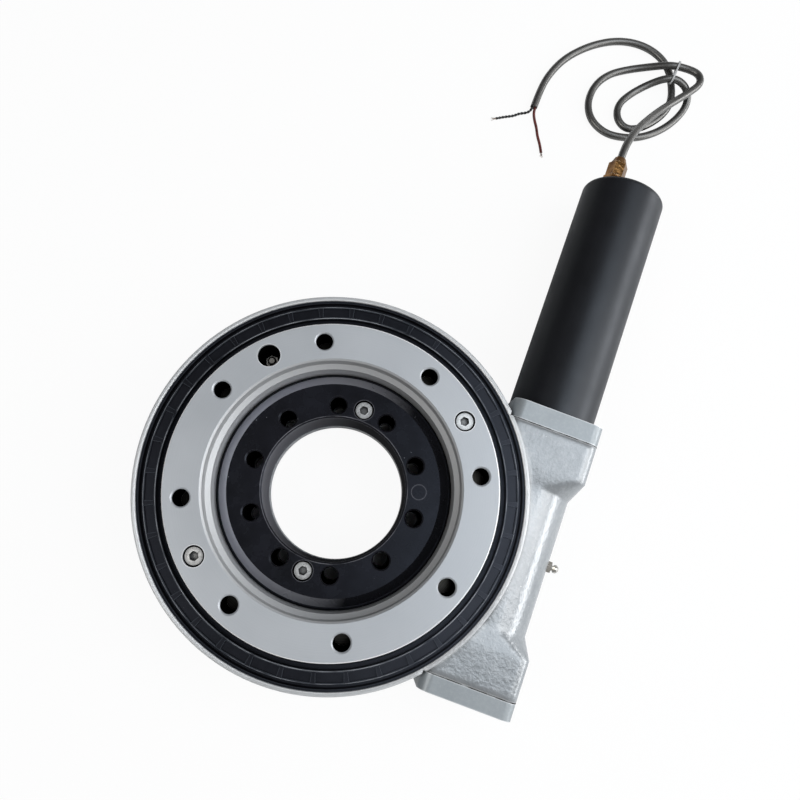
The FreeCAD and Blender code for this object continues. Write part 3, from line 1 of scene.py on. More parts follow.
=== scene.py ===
import bpy
import json
import math
import numpy as np
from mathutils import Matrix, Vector


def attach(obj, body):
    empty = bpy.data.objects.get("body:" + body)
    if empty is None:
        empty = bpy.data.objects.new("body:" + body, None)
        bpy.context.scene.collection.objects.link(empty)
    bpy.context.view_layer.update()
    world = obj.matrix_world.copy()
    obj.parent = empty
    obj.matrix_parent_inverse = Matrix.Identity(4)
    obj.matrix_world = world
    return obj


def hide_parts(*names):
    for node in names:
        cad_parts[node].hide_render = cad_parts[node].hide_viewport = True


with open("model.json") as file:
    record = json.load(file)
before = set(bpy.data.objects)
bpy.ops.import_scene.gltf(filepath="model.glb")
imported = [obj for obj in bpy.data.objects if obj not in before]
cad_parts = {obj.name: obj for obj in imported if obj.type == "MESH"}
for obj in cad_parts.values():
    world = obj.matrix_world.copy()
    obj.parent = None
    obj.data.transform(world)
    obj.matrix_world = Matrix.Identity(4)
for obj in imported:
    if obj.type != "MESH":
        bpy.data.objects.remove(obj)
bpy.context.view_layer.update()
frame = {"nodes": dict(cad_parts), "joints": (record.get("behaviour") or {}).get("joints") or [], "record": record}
nodes = frame["nodes"]
slotOf = {entry["node"]: entry["material_slot"] for entry in frame["record"]["subparts"]}
slewAxis = (0.0, 0.0, 0.0)
wormAxis = tuple(next(joint["pos_m"] for joint in frame["joints"] if joint["name"] == "worm_turn"))
print("frame loaded,", len(nodes), "nodes")


def addObject(name, data):
    thing = bpy.data.objects.new(name, data)
    bpy.context.scene.collection.objects.link(thing)
    return thing


# Shader building blocks
pattern = {
    "samples": 8,  # rays of the bevel and the shade
    "patchDetail": 4.0,
    "sheenFiner": 3,  # sheen patches are this many times smaller
    "sheenDetail": 5.0,
    "mottleDetail": 5.0,
    "mottleRoughness": 0.65,
    "mottleRange": (0.45, 0.75),
    "grainDetail": 2.0,
    "lineDetail": 3.0,
    "turnedGrainDepth": 0.00002,
    "stripeWaver": 1.5,
    "stripeDepth": 0.0002,
    "breakScale": 60.0,  # gaps in the painted highlight rings
    "breakRange": (0.35, 0.6),
    # how the lighter tone of worn and highlighted edges fades in
    "wearAndGlintRange": (0.50, 0.85),
}


def addNode(tree, kind, links=None, **settings):
    # links gives each socket a plain number or another node's output
    node = tree.nodes.new("ShaderNode" + kind)
    for key, setting in settings.items():
        setattr(node, key, setting)
    for key, source in (links or {}).items():
        if isinstance(source, bpy.types.NodeSocket):
            tree.links.new(source, node.inputs[key])
        else:
            node.inputs[key].default_value = source
    return node


def math2(tree, operation, first, second=0.0):
    return addNode(tree, "Math", {0: first, 1: second}, operation=operation).outputs[0]


def noise(tree, place, scale, detail=3.0, roughness=0.5):
    return addNode(tree, "TexNoise", {
        "Vector": place, "Scale": scale, "Detail": detail, "Roughness": roughness}).outputs["Fac"]


def spread(tree, factor, low, high, fromLow=0.3, fromHigh=0.7):
    # stretches a factor onto the range low to high
    return addNode(tree, "MapRange", {
        "Value": factor, "From Min": fromLow, "From Max": fromHigh,
        "To Min": low, "To Max": high}).outputs[0]


def mixTones(tree, factor, first, second):
    # a Mix node takes colours at inputs 6 and 7 and gives one at output 2
    links = {0: factor}
    for key, tone in ((6, first), (7, second)):
        links[key] = tone if isinstance(tone, bpy.types.NodeSocket) else (*tone, 1.0)
    return addNode(tree, "Mix", links, data_type="RGBA").outputs[2]


def mixNumbers(tree, factor, first, second):
    # a Mix node takes numbers at inputs 2 and 3 and gives one at output 0
    return addNode(tree, "Mix", {0: factor, 2: first, 3: second}, data_type="FLOAT").outputs[0]


def radiusFrom(tree, place, centre, axis):
    # distance of a point from a line through centre along the named axis
    moved = addNode(tree, "VectorMath", {0: place, 1: centre}, operation="SUBTRACT").outputs[0]
    flat = [0.0 if name == axis else 1.0 for name in "XYZ"]
    across = addNode(tree, "VectorMath", {0: moved, 1: flat}, operation="MULTIPLY").outputs[0]
    return addNode(tree, "VectorMath", {0: across}, operation="LENGTH").outputs["Value"]


def ringBand(tree, place, inner, outer):
    # 1 between two radii about the slewing axis, with sharp limits
    radius = radiusFrom(tree, place, slewAxis, "Z")
    return math2(tree, "MULTIPLY", math2(tree, "GREATER_THAN", radius, inner),
                 math2(tree, "LESS_THAN", radius, outer))


def specks(tree, place, scale, size, share):
    # small round flecks in a share of the cells of a Voronoi pattern
    cells = addNode(tree, "TexVoronoi", {"Vector": place, "Scale": scale})
    near = math2(tree, "LESS_THAN", cells.outputs["Distance"], size)
    draw = addNode(tree, "SeparateColor", {0: cells.outputs["Color"]}).outputs[0]
    return math2(tree, "MULTIPLY", near, math2(tree, "LESS_THAN", draw, share))


def startFinish(name, plain):
    # new material, its shader with the plain numbers on its own sockets, and Object coordinates
    material = bpy.data.materials.new(name)
    material.use_nodes = True
    tree = material.node_tree
    shader = tree.nodes["Principled BSDF"]
    for socket, number in plain.items():
        shader.inputs[socket].default_value = number
    place = addNode(tree, "TexCoord").outputs["Object"]
    return material, tree, shader, place


def addBumps(tree, shader, layers, soften=0.0):
    # layers of (height, strength, distance), one on the other, over edges rounded by soften
    normal = None
    if soften:
        normal = addNode(tree, "Bevel", {"Radius": soften}, samples=pattern["samples"]).outputs[0]
    for height, strength, distance in layers:
        links = {"Height": height, "Strength": strength, "Distance": distance}
        if normal is not None:
            links["Normal"] = normal
        normal = addNode(tree, "Bump", links).outputs[0]
    tree.links.new(normal, shader.inputs["Normal"])
    tree.links.new(normal, shader.inputs["Coat Normal"])


def blendSocket(tree, shader, socket, mask, number):
    # moves a shader socket from what it has now to a number where the mask is 1
    inlet = shader.inputs[socket]
    now = inlet.links[0].from_socket if inlet.is_linked else inlet.default_value
    tree.links.new(mixNumbers(tree, mask, now, number), inlet)


def addZones(tree, shader, place, colour, zones):
    # a zone between two radii fades in over two heights, and over two sides where it has them
    for zone in zones:
        parts = addNode(tree, "SeparateXYZ", {0: place})
        mask = math2(tree, "MULTIPLY", ringBand(tree, place, *zone["radii"]),
                     spread(tree, parts.outputs["Z"], 0.0, 1.0, *zone["heights"]))
        if "side" in zone:
            side = spread(tree, parts.outputs["X"], 0.0, 1.0, *zone["side"])
            mask = math2(tree, "MULTIPLY", mask, side)
        colour = mixTones(tree, mask, colour, zone["tone"])
        for socket, number in zone.get("sockets", {}).items():
            blendSocket(tree, shader, socket, mask, number)
    return colour


def ageColour(tree, place, colour, look):
    # painted highlight rings, dirt and painted shade where the surface is shut in, and worn bare tone with painted
    # highlights on outer edges
    # painted highlights: broken light lines at the given radii
    if "rings" in look:
        radii, width, tone = look["rings"]
        broken = spread(tree, noise(tree, place, pattern["breakScale"]), 0.0, 1.0,
                        *pattern["breakRange"])
        for radius in radii:
            line = ringBand(tree, place, radius - width, radius + width)
            colour = mixTones(tree, math2(tree, "MULTIPLY", line, broken), colour, tone)
    # dirt and painted shade: the colour darkens where ambient occlusion finds the surface shut in
    if "dirtAndShade" in look:
        reach, power, tone = look["dirtAndShade"]
        unoccluded = addNode(tree, "AmbientOcclusion", {"Distance": reach},
                        samples=pattern["samples"]).outputs["AO"]
        colour = mixTones(tree, math2(tree, "POWER", unoccluded, power), tone, colour)
    # edge wear and painted highlights: outer edges take a lighter tone
    if "wearAndGlint" in look:
        reach, tone = look["wearAndGlint"]
        solid = addNode(tree, "AmbientOcclusion", {"Distance": reach},
                        samples=pattern["samples"], inside=True).outputs["AO"]
        edge = spread(tree, solid, 1.0, 0.0, *pattern["wearAndGlintRange"])
        colour = mixTones(tree, edge, colour, tone)
    return colour


def colourFinish(tree, shader, place, colour, look):
    # zones and ageing over a finish's own colour
    colour = addZones(tree, shader, place, colour, look.get("zones", ()))
    tree.links.new(ageColour(tree, place, colour, look), shader.inputs["Base Color"])


def grainFinish(name, look):
    # two tones in broad patches, roughness in finer ones, and a bump of fine grain
    material, tree, shader, place = startFinish(name, look["plain"])
    patches = noise(tree, place, look["patchScale"], pattern["patchDetail"])
    colour = mixTones(tree, spread(tree, patches, 0.0, 1.0), *look["tones"])
    if "mottle" in look:
        scale, share, tone = look["mottle"]
        cover = noise(tree, place, scale, pattern["mottleDetail"], pattern["mottleRoughness"])
        cover = spread(tree, cover, 0.0, share, *pattern["mottleRange"])
        colour = mixTones(tree, cover, colour, tone)
    if "specks" in look:
        colour = mixTones(tree, specks(tree, place, *look["specks"]), colour, look["speckTone"])
    sheen = noise(tree, place, look["patchScale"] * pattern["sheenFiner"], pattern["sheenDetail"])
    tree.links.new(spread(tree, sheen, *look["rough"]), shader.inputs["Roughness"])
    colourFinish(tree, shader, place, colour, look)
    layers = [(noise(tree, place, scale, pattern["grainDetail"]), strength, distance)
              for scale, strength, distance in look["grain"]]
    addBumps(tree, shader, layers, look.get("soften", 0.0))
    return material


def turnedFinish(name, look):
    # fine lines round an axis, as a lathe tool leaves them
    material, tree, shader, place = startFinish(name, look["plain"])
    radius = radiusFrom(tree, place, look["centre"], look["axis"])
    lines = addNode(tree, "TexNoise", {
        "W": radius, "Scale": look["lineScale"], "Detail": pattern["lineDetail"]},
        noise_dimensions="1D").outputs["Fac"]
    patches = noise(tree, place, look["patchScale"], pattern["patchDetail"])
    both = math2(tree, "ADD", math2(tree, "MULTIPLY", lines, look["lineShare"]),
                 math2(tree, "MULTIPLY", patches, 1.0 - look["lineShare"]))
    colour = mixTones(tree, spread(tree, both, 0.0, 1.0), *look["tones"])
    tree.links.new(spread(tree, patches, *look["rough"]), shader.inputs["Roughness"])
    colourFinish(tree, shader, place, colour, look)
    grain = noise(tree, place, look["grainScale"], pattern["grainDetail"])
    addBumps(tree, shader, [(lines, look["lineStrength"], look["lineDepth"]),
                            (grain, look["grainStrength"], pattern["turnedGrainDepth"])])
    return material


def stripedFinish(name, look):
    # regular stripes along one axis, such as stacked sheets or turns of wire
    material, tree, shader, place = startFinish(name, look["plain"])
    stripes = addNode(tree, "TexWave", {
        "Vector": place, "Scale": look["stripeScale"], "Distortion": pattern["stripeWaver"]},
        bands_direction=look["axis"]).outputs["Fac"]
    patches = noise(tree, place, look["patchScale"], pattern["patchDetail"])
    mean = math2(tree, "MULTIPLY", math2(tree, "ADD", stripes, patches), 0.5)
    tree.links.new(mixTones(tree, mean, *look["tones"]), shader.inputs["Base Color"])
    tree.links.new(spread(tree, patches, *look["rough"]), shader.inputs["Roughness"])
    addBumps(tree, shader, [(stripes, look["stripeStrength"], pattern["stripeDepth"])])
    return material


# Finishes by material slot, with two more for single nodes.
# In a look, grain is (scale, strength, distance), mottle (scale, share, tone), specks (scale,
# size, share), dirt and painted shade (reach, power, tone), wear and painted highlight (reach, tone)
# and painted highlight rings (radii, half width, tone).
finishes = {}
coolTint = (0.72, 0.80, 1.0, 1.0)
noShine = {"Specular IOR Level": 0.0}


def paintFinishes():
    # silver-grey paint: rough cast skin on the housing, smoother on the machined plates
    # dirt and painted shade in seams and hollows, and a worn bare tone with painted highlight on edges
    seamDirtAndShade = (0.003, 1.2, (0.05, 0.05, 0.05))
    wornEdgeAndGlint = (0.66, 0.67, 0.68)
    finishes["cast_paint"] = grainFinish("castPaint", {
        "plain": {"Metallic": 0.25, "Coat Weight": 0.60, "Coat Roughness": 0.07, "Coat IOR": 2.1},
        "tones": ((0.195, 0.213, 0.228), (0.26, 0.278, 0.293)),
        "patchScale": 16.0, "rough": (0.28, 0.42), "soften": 0.006,
        "mottle": (240.0, 0.45, (0.36, 0.373, 0.385)),
        "grain": ((170.0, 0.16, 0.0012), (480.0, 0.40, 0.0005), (1500.0, 0.35, 0.00015)),
        "specks": (360.0, 0.09, 0.12), "speckTone": (0.72, 0.73, 0.74),
        "zones": (
            # machined top of the rim, and a painted highlight: the light line at its inner edge
            {"radii": (0.1330, 0.1372), "heights": (0.0690, 0.0700), "tone": (0.54, 0.55, 0.56)},
            {"radii": (0.1330, 0.1341), "heights": (0.0690, 0.0700), "tone": (0.92, 0.92, 0.92)}),
        # dirt and painted shade in hollows; edge wear and painted highlight on edges
        "dirtAndShade": seamDirtAndShade, "wearAndGlint": (0.0012, wornEdgeAndGlint)})
    finishes["plate_paint"] = grainFinish("platePaint", {
        "plain": {"Metallic": 0.30, "Coat Weight": 0.25, "Coat Roughness": 0.2},
        "tones": ((0.25, 0.275, 0.29), (0.31, 0.335, 0.35)),
        "patchScale": 18.0, "rough": (0.34, 0.44),
        "mottle": (420.0, 0.25, (0.42, 0.44, 0.46)),
        "grain": ((420.0, 0.18, 0.0004), (1800.0, 0.20, 0.00012)),
        # dirt and painted shade in hollows; edge wear and painted highlight on edges
        "dirtAndShade": seamDirtAndShade, "wearAndGlint": (0.0010, wornEdgeAndGlint)})
    finishes["motor_black"] = grainFinish("motorBlack", {
        "plain": {"Specular IOR Level": 0.46, "Specular Tint": (0.86, 0.92, 1.0, 1.0)},
        "tones": ((0.005, 0.005, 0.006), (0.008, 0.008, 0.010)),
        "patchScale": 20.0, "rough": (0.38, 0.46),
        "grain": ((1500.0, 0.14, 0.0001), (240.0, 0.04, 0.0002)),
        "specks": (420.0, 0.05, 0.03), "speckTone": (0.06, 0.06, 0.06),
        "zones": (
            # painted shade: darker and less shiny on the side that faces the ring
            {"radii": (0.0, 1.0), "heights": (0.0, 0.001), "side": (0.118, 0.104),
             "tone": (0.005, 0.005, 0.006), "sockets": {"Specular IOR Level": 0.16}},),
        # edge wear and painted highlight: lighter edges
        "wearAndGlint": (0.0010, (0.05, 0.05, 0.055))})


def blackFinishes():
    blackSteel = {
        "plain": {"Specular IOR Level": 0.24, "Specular Tint": coolTint},
        "tones": ((0.005, 0.005, 0.006), (0.009, 0.009, 0.012)),
        "patchScale": 40.0, "rough": (0.20, 0.32),
        "grain": ((520.0, 0.04, 0.0001), (2600.0, 0.05, 0.00005)),
        "specks": (330.0, 0.085, 0.06), "speckTone": (0.30, 0.31, 0.34),
        # edge wear and painted highlight: lighter edges
        "wearAndGlint": (0.0008, (0.07, 0.07, 0.08))}
    finishes["black_steel"] = grainFinish("blackSteel", blackSteel)
    # grey for painted light: lit edges, the left side of the bore and its top edge line
    paintedLightGrey = (0.15, 0.15, 0.165)
    bore = {"radii": (0.0, 0.0512), "heights": (0.0535, 0.0520)}
    finishes["ringBlack"] = grainFinish("ringBlack", {
        # edge wear and painted highlight: grey outer edges
        **blackSteel, "wearAndGlint": (0.0008, paintedLightGrey),
        "zones": (
            # ground cone, painted reflection: bare bright steel on its left only
            {"radii": (0.0757, 0.0822), "heights": (0.0, 0.01), "side": (0.035, -0.050),
             "tone": (0.60, 0.60, 0.65), "sockets": {"Metallic": 1.0, "Roughness": 0.34}},
            # bolt holes, painted shade: black and without shine inside
            {"radii": (0.0525, 0.0690), "heights": (0.0530, 0.0505),
             "tone": (0.002, 0.002, 0.002), "sockets": noShine},
            # dull bore, with painted light: greyer on its left
            {**bore, "tone": (0.035, 0.035, 0.038), "sockets": noShine},
            {**bore, "side": (0.0, -0.042), "tone": paintedLightGrey}),
        # painted highlight: a broken grey line at the top edge of the bore
        "rings": ((0.0522,), 0.00025, paintedLightGrey)})


def turnedFinishes():
    finishes["satin_steel"] = turnedFinish("satinSteel", {
        "plain": {"Metallic": 0.30, "Specular IOR Level": 0.5}, "centre": slewAxis, "axis": "Z",
        "tones": ((0.40, 0.42, 0.445), (0.47, 0.49, 0.515)),
        "patchScale": 16.0, "rough": (0.36, 0.46),
        "lineScale": 2200.0, "lineShare": 0.35, "lineStrength": 0.05, "lineDepth": 0.00006,
        "grainScale": 1800.0, "grainStrength": 0.08,
        "zones": (
            # bolt holes, painted shade: black and without shine below their top
            {"radii": (0.0925, 0.1105), "heights": (0.0765, 0.0745),
             "tone": (0.002, 0.002, 0.002), "sockets": {**noShine, "Metallic": 0.0}},
            # stepped mouth
            {"radii": (0.0830, 0.0895), "heights": (0.0779, 0.0774),
             "tone": (0.50, 0.507, 0.515), "sockets": {"Metallic": 0.7, "Roughness": 0.60}},
            # outer edge, painted highlight: a near-white line
            {"radii": (0.1135, 0.1145), "heights": (0.0768, 0.0774), "tone": (0.90, 0.90, 0.91)}),
        # edge wear and painted highlight: near-white edges
        "wearAndGlint": (0.0010, (0.86, 0.87, 0.88))})
    cutLines = {
        "lineScale": 1600.0, "lineShare": 0.5, "lineStrength": 0.08, "lineDepth": 0.00005,
        "grainScale": 1200.0, "grainStrength": 0.08}
    finishes["wheelSteel"] = turnedFinish("wheelSteel", {
        "plain": {"Metallic": 1.0}, "centre": slewAxis, "axis": "Z",
        "tones": ((0.030, 0.028, 0.026), (0.075, 0.070, 0.062)),
        "patchScale": 30.0, "rough": (0.26, 0.40), **cutLines})
    finishes["gear_steel"] = turnedFinish("gearSteel", {
        "plain": {"Metallic": 1.0}, "centre": wormAxis, "axis": "Y",
        "tones": ((0.30, 0.30, 0.31), (0.44, 0.44, 0.45)),
        "patchScale": 30.0, "rough": (0.28, 0.42), **cutLines})
    finishes["bearing_steel"] = turnedFinish("bearingSteel", {
        "plain": {"Metallic": 1.0}, "centre": wormAxis, "axis": "Y",
        "tones": ((0.52, 0.52, 0.54), (0.62, 0.62, 0.64)),
        "patchScale": 40.0, "rough": (0.14, 0.24),
        "lineScale": 2600.0, "lineShare": 0.4, "lineStrength": 0.04, "lineDepth": 0.00003,
        "grainScale": 2400.0, "grainStrength": 0.03})


def metalFinishes():
    finishes["screw_steel"] = grainFinish("screwSteel", {
        "plain": {"Metallic": 0.9}, "tones": ((0.50, 0.50, 0.50), (0.72, 0.72, 0.71)),
        "patchScale": 300.0, "rough": (0.24, 0.44),
        "grain": ((900.0, 0.25, 0.0001), (2600.0, 0.15, 0.00005)),
        "specks": (900.0, 0.16, 0.10), "speckTone": (0.22, 0.21, 0.19),
        # dirt and painted shade: dark sockets and hollows; edge wear and painted highlight: near-white edges
        "dirtAndShade": (0.004, 2.6, (0.004, 0.004, 0.004)), "wearAndGlint": (0.0004, (0.92, 0.92, 0.91))})
    finishes["nipple_steel"] = grainFinish("nippleSteel", {
        "plain": {"Metallic": 1.0}, "tones": ((0.50, 0.48, 0.44), (0.66, 0.64, 0.60)),
        "patchScale": 260.0, "rough": (0.16, 0.30), "grain": ((1400.0, 0.12, 0.00006),)})
    finishes["can_zinc"] = grainFinish("canZinc", {
        "plain": {"Metallic": 1.0}, "tones": ((0.46, 0.47, 0.48), (0.58, 0.59, 0.60)),
        "patchScale": 90.0, "rough": (0.26, 0.40), "grain": ((1100.0, 0.10, 0.00006),)})
    finishes["gland_brass"] = grainFinish("glandBrass", {
        "plain": {"Metallic": 1.0}, "tones": ((0.085, 0.036, 0.013), (0.34, 0.18, 0.065)),
        "patchScale": 130.0, "rough": (0.10, 0.22),
        "grain": ((1500.0, 0.12, 0.00006), (260.0, 0.30, 0.0006)),
        "specks": (700.0, 0.14, 0.06), "speckTone": (0.12, 0.06, 0.03),
        # dirt and painted shade in hollows; edge wear and painted highlight on edges
        "dirtAndShade": (0.004, 1.5, (0.03, 0.015, 0.008)), "wearAndGlint": (0.0004, (0.78, 0.62, 0.44))})
    finishes["cage_brass"] = grainFinish("cageBrass", {
        "plain": {"Metallic": 1.0}, "tones": ((0.48, 0.34, 0.13), (0.62, 0.46, 0.20)),
        "patchScale": 80.0, "rough": (0.24, 0.38), "grain": ((900.0, 0.10, 0.00006),)})
    finishes["bush_bronze"] = grainFinish("bushBronze", {
        "plain": {"Metallic": 1.0}, "tones": ((0.32, 0.20, 0.09), (0.46, 0.31, 0.15)),
        "patchScale": 120.0, "rough": (0.36, 0.50), "grain": ((1600.0, 0.20, 0.00008),)})
    finishes["bare_wire"] = grainFinish("bareWire", {
        "plain": {"Metallic": 1.0}, "tones": ((0.45, 0.32, 0.24), (0.72, 0.70, 0.68)),
        "patchScale": 500.0, "rough": (0.2, 0.36), "grain": ((2400.0, 0.1, 0.00005),)})
    finishes["core_iron"] = stripedFinish("coreIron", {
        "plain": {"Metallic": 0.9}, "tones": ((0.13, 0.13, 0.14), (0.30, 0.30, 0.31)),
        "patchScale": 60.0, "rough": (0.38, 0.55),
        "axis": "Y", "stripeScale": 320.0, "stripeStrength": 0.25})
    finishes["winding_copper"] = stripedFinish("windingCopper", {
        "plain": {"Metallic": 0.9, "Coat Weight": 0.5},
        "tones": ((0.30, 0.11, 0.04), (0.60, 0.27, 0.12)),
        "patchScale": 90.0, "rough": (0.24, 0.38),
        "axis": "DIAGONAL", "stripeScale": 260.0, "stripeStrength": 0.5})


def softFinishes():
    finishes["seal_rubber"] = grainFinish("sealRubber", {
        "plain": {"Specular IOR Level": 0.22, "Specular Tint": coolTint},
        "tones": ((0.004, 0.004, 0.005), (0.007, 0.007, 0.009)),
        "patchScale": 60.0, "rough": (0.30, 0.44),
        "grain": ((1300.0, 0.14, 0.0001), (240.0, 0.05, 0.0002)),
        "specks": (420.0, 0.06, 0.05), "speckTone": (0.10, 0.10, 0.10),
        "zones": (
            # painted sheen: lighter and bluish on the side of the worm
            {"radii": (0.1100, 0.1340), "heights": (0.0, 0.01), "side": (0.02, 0.12),
             "tone": (0.026, 0.028, 0.034)},),
        # painted highlights: broken light lines at the band edges
        "rings": ((0.1205, 0.1285), 0.00022, (0.34, 0.35, 0.37)),
        # edge wear and painted highlight: lighter rib and pocket edges
        "wearAndGlint": (0.0008, (0.05, 0.056, 0.066))})
    finishes["gasket_fibre"] = grainFinish("gasketFibre", {
        "plain": {"Specular IOR Level": 0.2},
        "tones": ((0.012, 0.012, 0.012), (0.03, 0.03, 0.03)),
        "patchScale": 190.0, "rough": (0.6, 0.8),
        "mottle": (130.0, 1.0, (0.40, 0.42, 0.44)), "grain": ((1400.0, 0.3, 0.0001),)})
    finishes["cable_sheath"] = grainFinish("cableSheath", {
        "plain": {"Specular IOR Level": 0.9, "Specular Tint": (1.0, 0.97, 0.92, 1.0),
                  "Coat Weight": 0.6, "Coat Roughness": 0.34, "Coat IOR": 1.8,
                  "Coat Tint": (1.0, 0.98, 0.95, 1.0)},
        "tones": ((0.012, 0.012, 0.012), (0.024, 0.0235, 0.023)),
        "patchScale": 70.0, "rough": (0.30, 0.42),
        "grain": ((1700.0, 0.12, 0.00008), (300.0, 0.05, 0.0001)),
        "specks": (500.0, 0.06, 0.05), "speckTone": (0.16, 0.16, 0.16)})
    finishes["core_black"] = grainFinish("coreBlack", {
        "plain": {}, "tones": ((0.010, 0.010, 0.010), (0.030, 0.030, 0.030)),
        "patchScale": 260.0, "rough": (0.25, 0.42), "grain": ((1700.0, 0.12, 0.00006),)})
    finishes["core_red"] = grainFinish("coreRed", {
        "plain": {}, "tones": ((0.060, 0.014, 0.012), (0.15, 0.030, 0.024)),
        "patchScale": 240.0, "rough": (0.25, 0.42), "grain": ((1700.0, 0.12, 0.00006),)})
    finishes["tie_nylon"] = grainFinish("tieNylon", {
        "plain": {"Transmission Weight": 0.1}, "tones": ((0.42, 0.42, 0.42), (0.55, 0.55, 0.55)),
        "patchScale": 300.0, "rough": (0.3, 0.45), "grain": ((2000.0, 0.1, 0.00005),)})
    finishes["magnet_ferrite"] = grainFinish("magnetFerrite", {
        "plain": {"Metallic": 0.3}, "tones": ((0.05, 0.05, 0.055), (0.11, 0.11, 0.12)),
        "patchScale": 70.0, "rough": (0.5, 0.7), "grain": ((1300.0, 0.25, 0.0001),)})
    finishes["brush_carbon"] = grainFinish("brushCarbon", {
        "plain": {"Metallic": 0.2}, "tones": ((0.02, 0.02, 0.02), (0.05, 0.05, 0.05)),
        "patchScale": 120.0, "rough": (0.45, 0.6), "grain": ((1800.0, 0.2, 0.00008),)})
    finishes["plate_resin"] = grainFinish("plateResin", {
        "plain": {}, "tones": ((0.07, 0.035, 0.018), (0.14, 0.07, 0.035)),
        "patchScale": 110.0, "rough": (0.38, 0.52), "grain": ((1400.0, 0.12, 0.00008),)})


paintFinishes()
blackFinishes()
turnedFinishes()
metalFinishes()
softFinishes()
ownFinish = {"worm_wheel": "wheelSteel", "inner_ring": "ringBlack"}
for name, node in nodes.items():
    node.data.materials.clear()
    node.data.materials.append(finishes[ownFinish.get(name, slotOf[name])])
print("finishes made:", len(finishes))


# Motor cable and its two leads. The routes are those of the solids, with some points of the
# cable moved to follow the photograph. Each starts where the cord comes out.
cable = {
    "diameter": 0.0062,
    "length": 0.740,
    "route": [
        (0.1190, 0.3130, 0.0480), (0.1191, 0.3270, 0.0480), (0.1206, 0.3410, 0.0460),
        (0.1250, 0.3570, 0.0405), (0.1325, 0.3750, 0.0320), (0.1415, 0.3935, 0.0235),
        (0.1520, 0.4105, 0.0180), (0.1625, 0.4255, 0.0160), (0.1700, 0.4380, 0.0155),
        (0.1662, 0.4475, 0.0145), (0.1537, 0.4496, 0.0128), (0.1400, 0.4474, 0.0128),
        (0.1242, 0.4435, 0.0065), (0.1080, 0.4366, 0.0031), (0.0932, 0.4258, 0.0031),
        (0.0843, 0.4104, 0.0031), (0.0835, 0.3920, 0.0031), (0.0910, 0.3775, 0.0031),
        (0.1060, 0.3700, 0.0031), (0.1220, 0.3715, 0.0031), (0.1385, 0.3785, 0.0031),
        (0.1530, 0.3920, 0.0031), (0.1630, 0.4085, 0.0031), (0.1670, 0.4240, 0.0044),
        (0.1615, 0.4335, 0.0095), (0.1510, 0.4365, 0.0128), (0.1405, 0.4340, 0.0128),
        (0.1285, 0.4270, 0.0065), (0.1170, 0.4150, 0.0031), (0.1095, 0.4010, 0.0031),
        (0.1120, 0.3875, 0.0031), (0.1225, 0.3805, 0.0031), (0.1345, 0.3860, 0.0031),
        (0.1445, 0.3975, 0.0031), (0.1515, 0.4110, 0.0031), (0.1525, 0.4245, 0.0031),
        (0.1485, 0.4375, 0.0031), (0.1425, 0.4500, 0.0031), (0.1325, 0.4590, 0.0031),
        (0.1190, 0.4638, 0.0031), (0.1035, 0.4638, 0.0031), (0.0885, 0.4590, 0.0031),
        (0.0750, 0.4505, 0.0031), (0.0625, 0.4390, 0.0031), (0.0518, 0.4250, 0.0031),
        (0.0448, 0.4090, 0.0031), (0.0410, 0.3910, 0.0031), (0.0410, 0.3700, 0.0031),
    ],
}
blackCore = {
    "diameter": 0.0024,
    "length": 0.0350,
    "route": [
        (0.0397, 0.3700, 0.00310), (0.0397, 0.3660, 0.00310), (0.0362, 0.3630, 0.00190),
        (0.0310, 0.3608, 0.00125), (0.0266, 0.3564, 0.00125), (0.0210, 0.3536, 0.00125),
        (0.0135, 0.3487, 0.00125),
    ],
    "twist": 1100.0,  # radians for each metre
    "strand": 0.00060,
    "offset": 0.00060,
    "sides": 10,
}
redCore = {
    "diameter": 0.0024,
    "length": 0.0415,
    "route": [
        (0.0423, 0.3700, 0.00310), (0.0423, 0.3658, 0.00310), (0.0450, 0.3602, 0.00180),
        (0.0494, 0.3536, 0.00125), (0.0526, 0.3464, 0.00125), (0.0572, 0.3396, 0.00125),
        (0.0604, 0.3329, 0.00125),
    ],
}
cordSteps = {"along": 12, "round": 6}
sharpAngle = math.radians(40.0)


def routeCurve(name, route, radius):
    # one open NURBS line with the route's points as its control points
    data = bpy.data.curves.new(name, "CURVE")
    data.dimensions = "3D"
    data.resolution_u = cordSteps["along"]
    data.bevel_depth = radius
    data.bevel_resolution = cordSteps["round"]
    data.use_fill_caps = True
    spline = data.splines.new("NURBS")
    spline.points.add(len(route) - 1)
    points = np.column_stack([np.array(route), np.ones(len(route))])
    spline.points.foreach_set("co", points.astype(np.float32).ravel())
    spline.order_u = 3
    spline.use_endpoint_u = True
    return addObject(name, data)


def routeLine(route):
    # points along the route's NURBS line
    thing = routeCurve("routeLine", route, 0.0)
    bpy.context.view_layer.update()
    mesh = bpy.data.meshes.new_from_object(thing)
    line = np.empty(len(mesh.vertices) * 3)
    mesh.vertices.foreach_get("co", line)
    bpy.data.objects.remove(thing)
    bpy.data.meshes.remove(mesh)
    return line.reshape(-1, 3)


def crossDirections(line):
    # for each point of a line, a level and an upright direction across its run
    run = np.gradient(line, axis=0)
    run /= np.linalg.norm(run, axis=1, keepdims=True)
    level = np.cross(run, (0.0, 0.0, 1.0))
    level /= np.linalg.norm(level, axis=1, keepdims=True)
    return level, np.cross(level, run)


def twistLine(line, offset, twist, phase):
    # helix: line + offset (cos a level + sin a upright), a = twist times length so far + phase
    level, upright = crossDirections(line)
    steps = np.linalg.norm(np.diff(line, axis=0), axis=1)
    angle = (twist * np.concatenate([[0.0], np.cumsum(steps)]) + phase)[:, None]
    return line + offset * (np.cos(angle) * level + np.sin(angle) * upright)


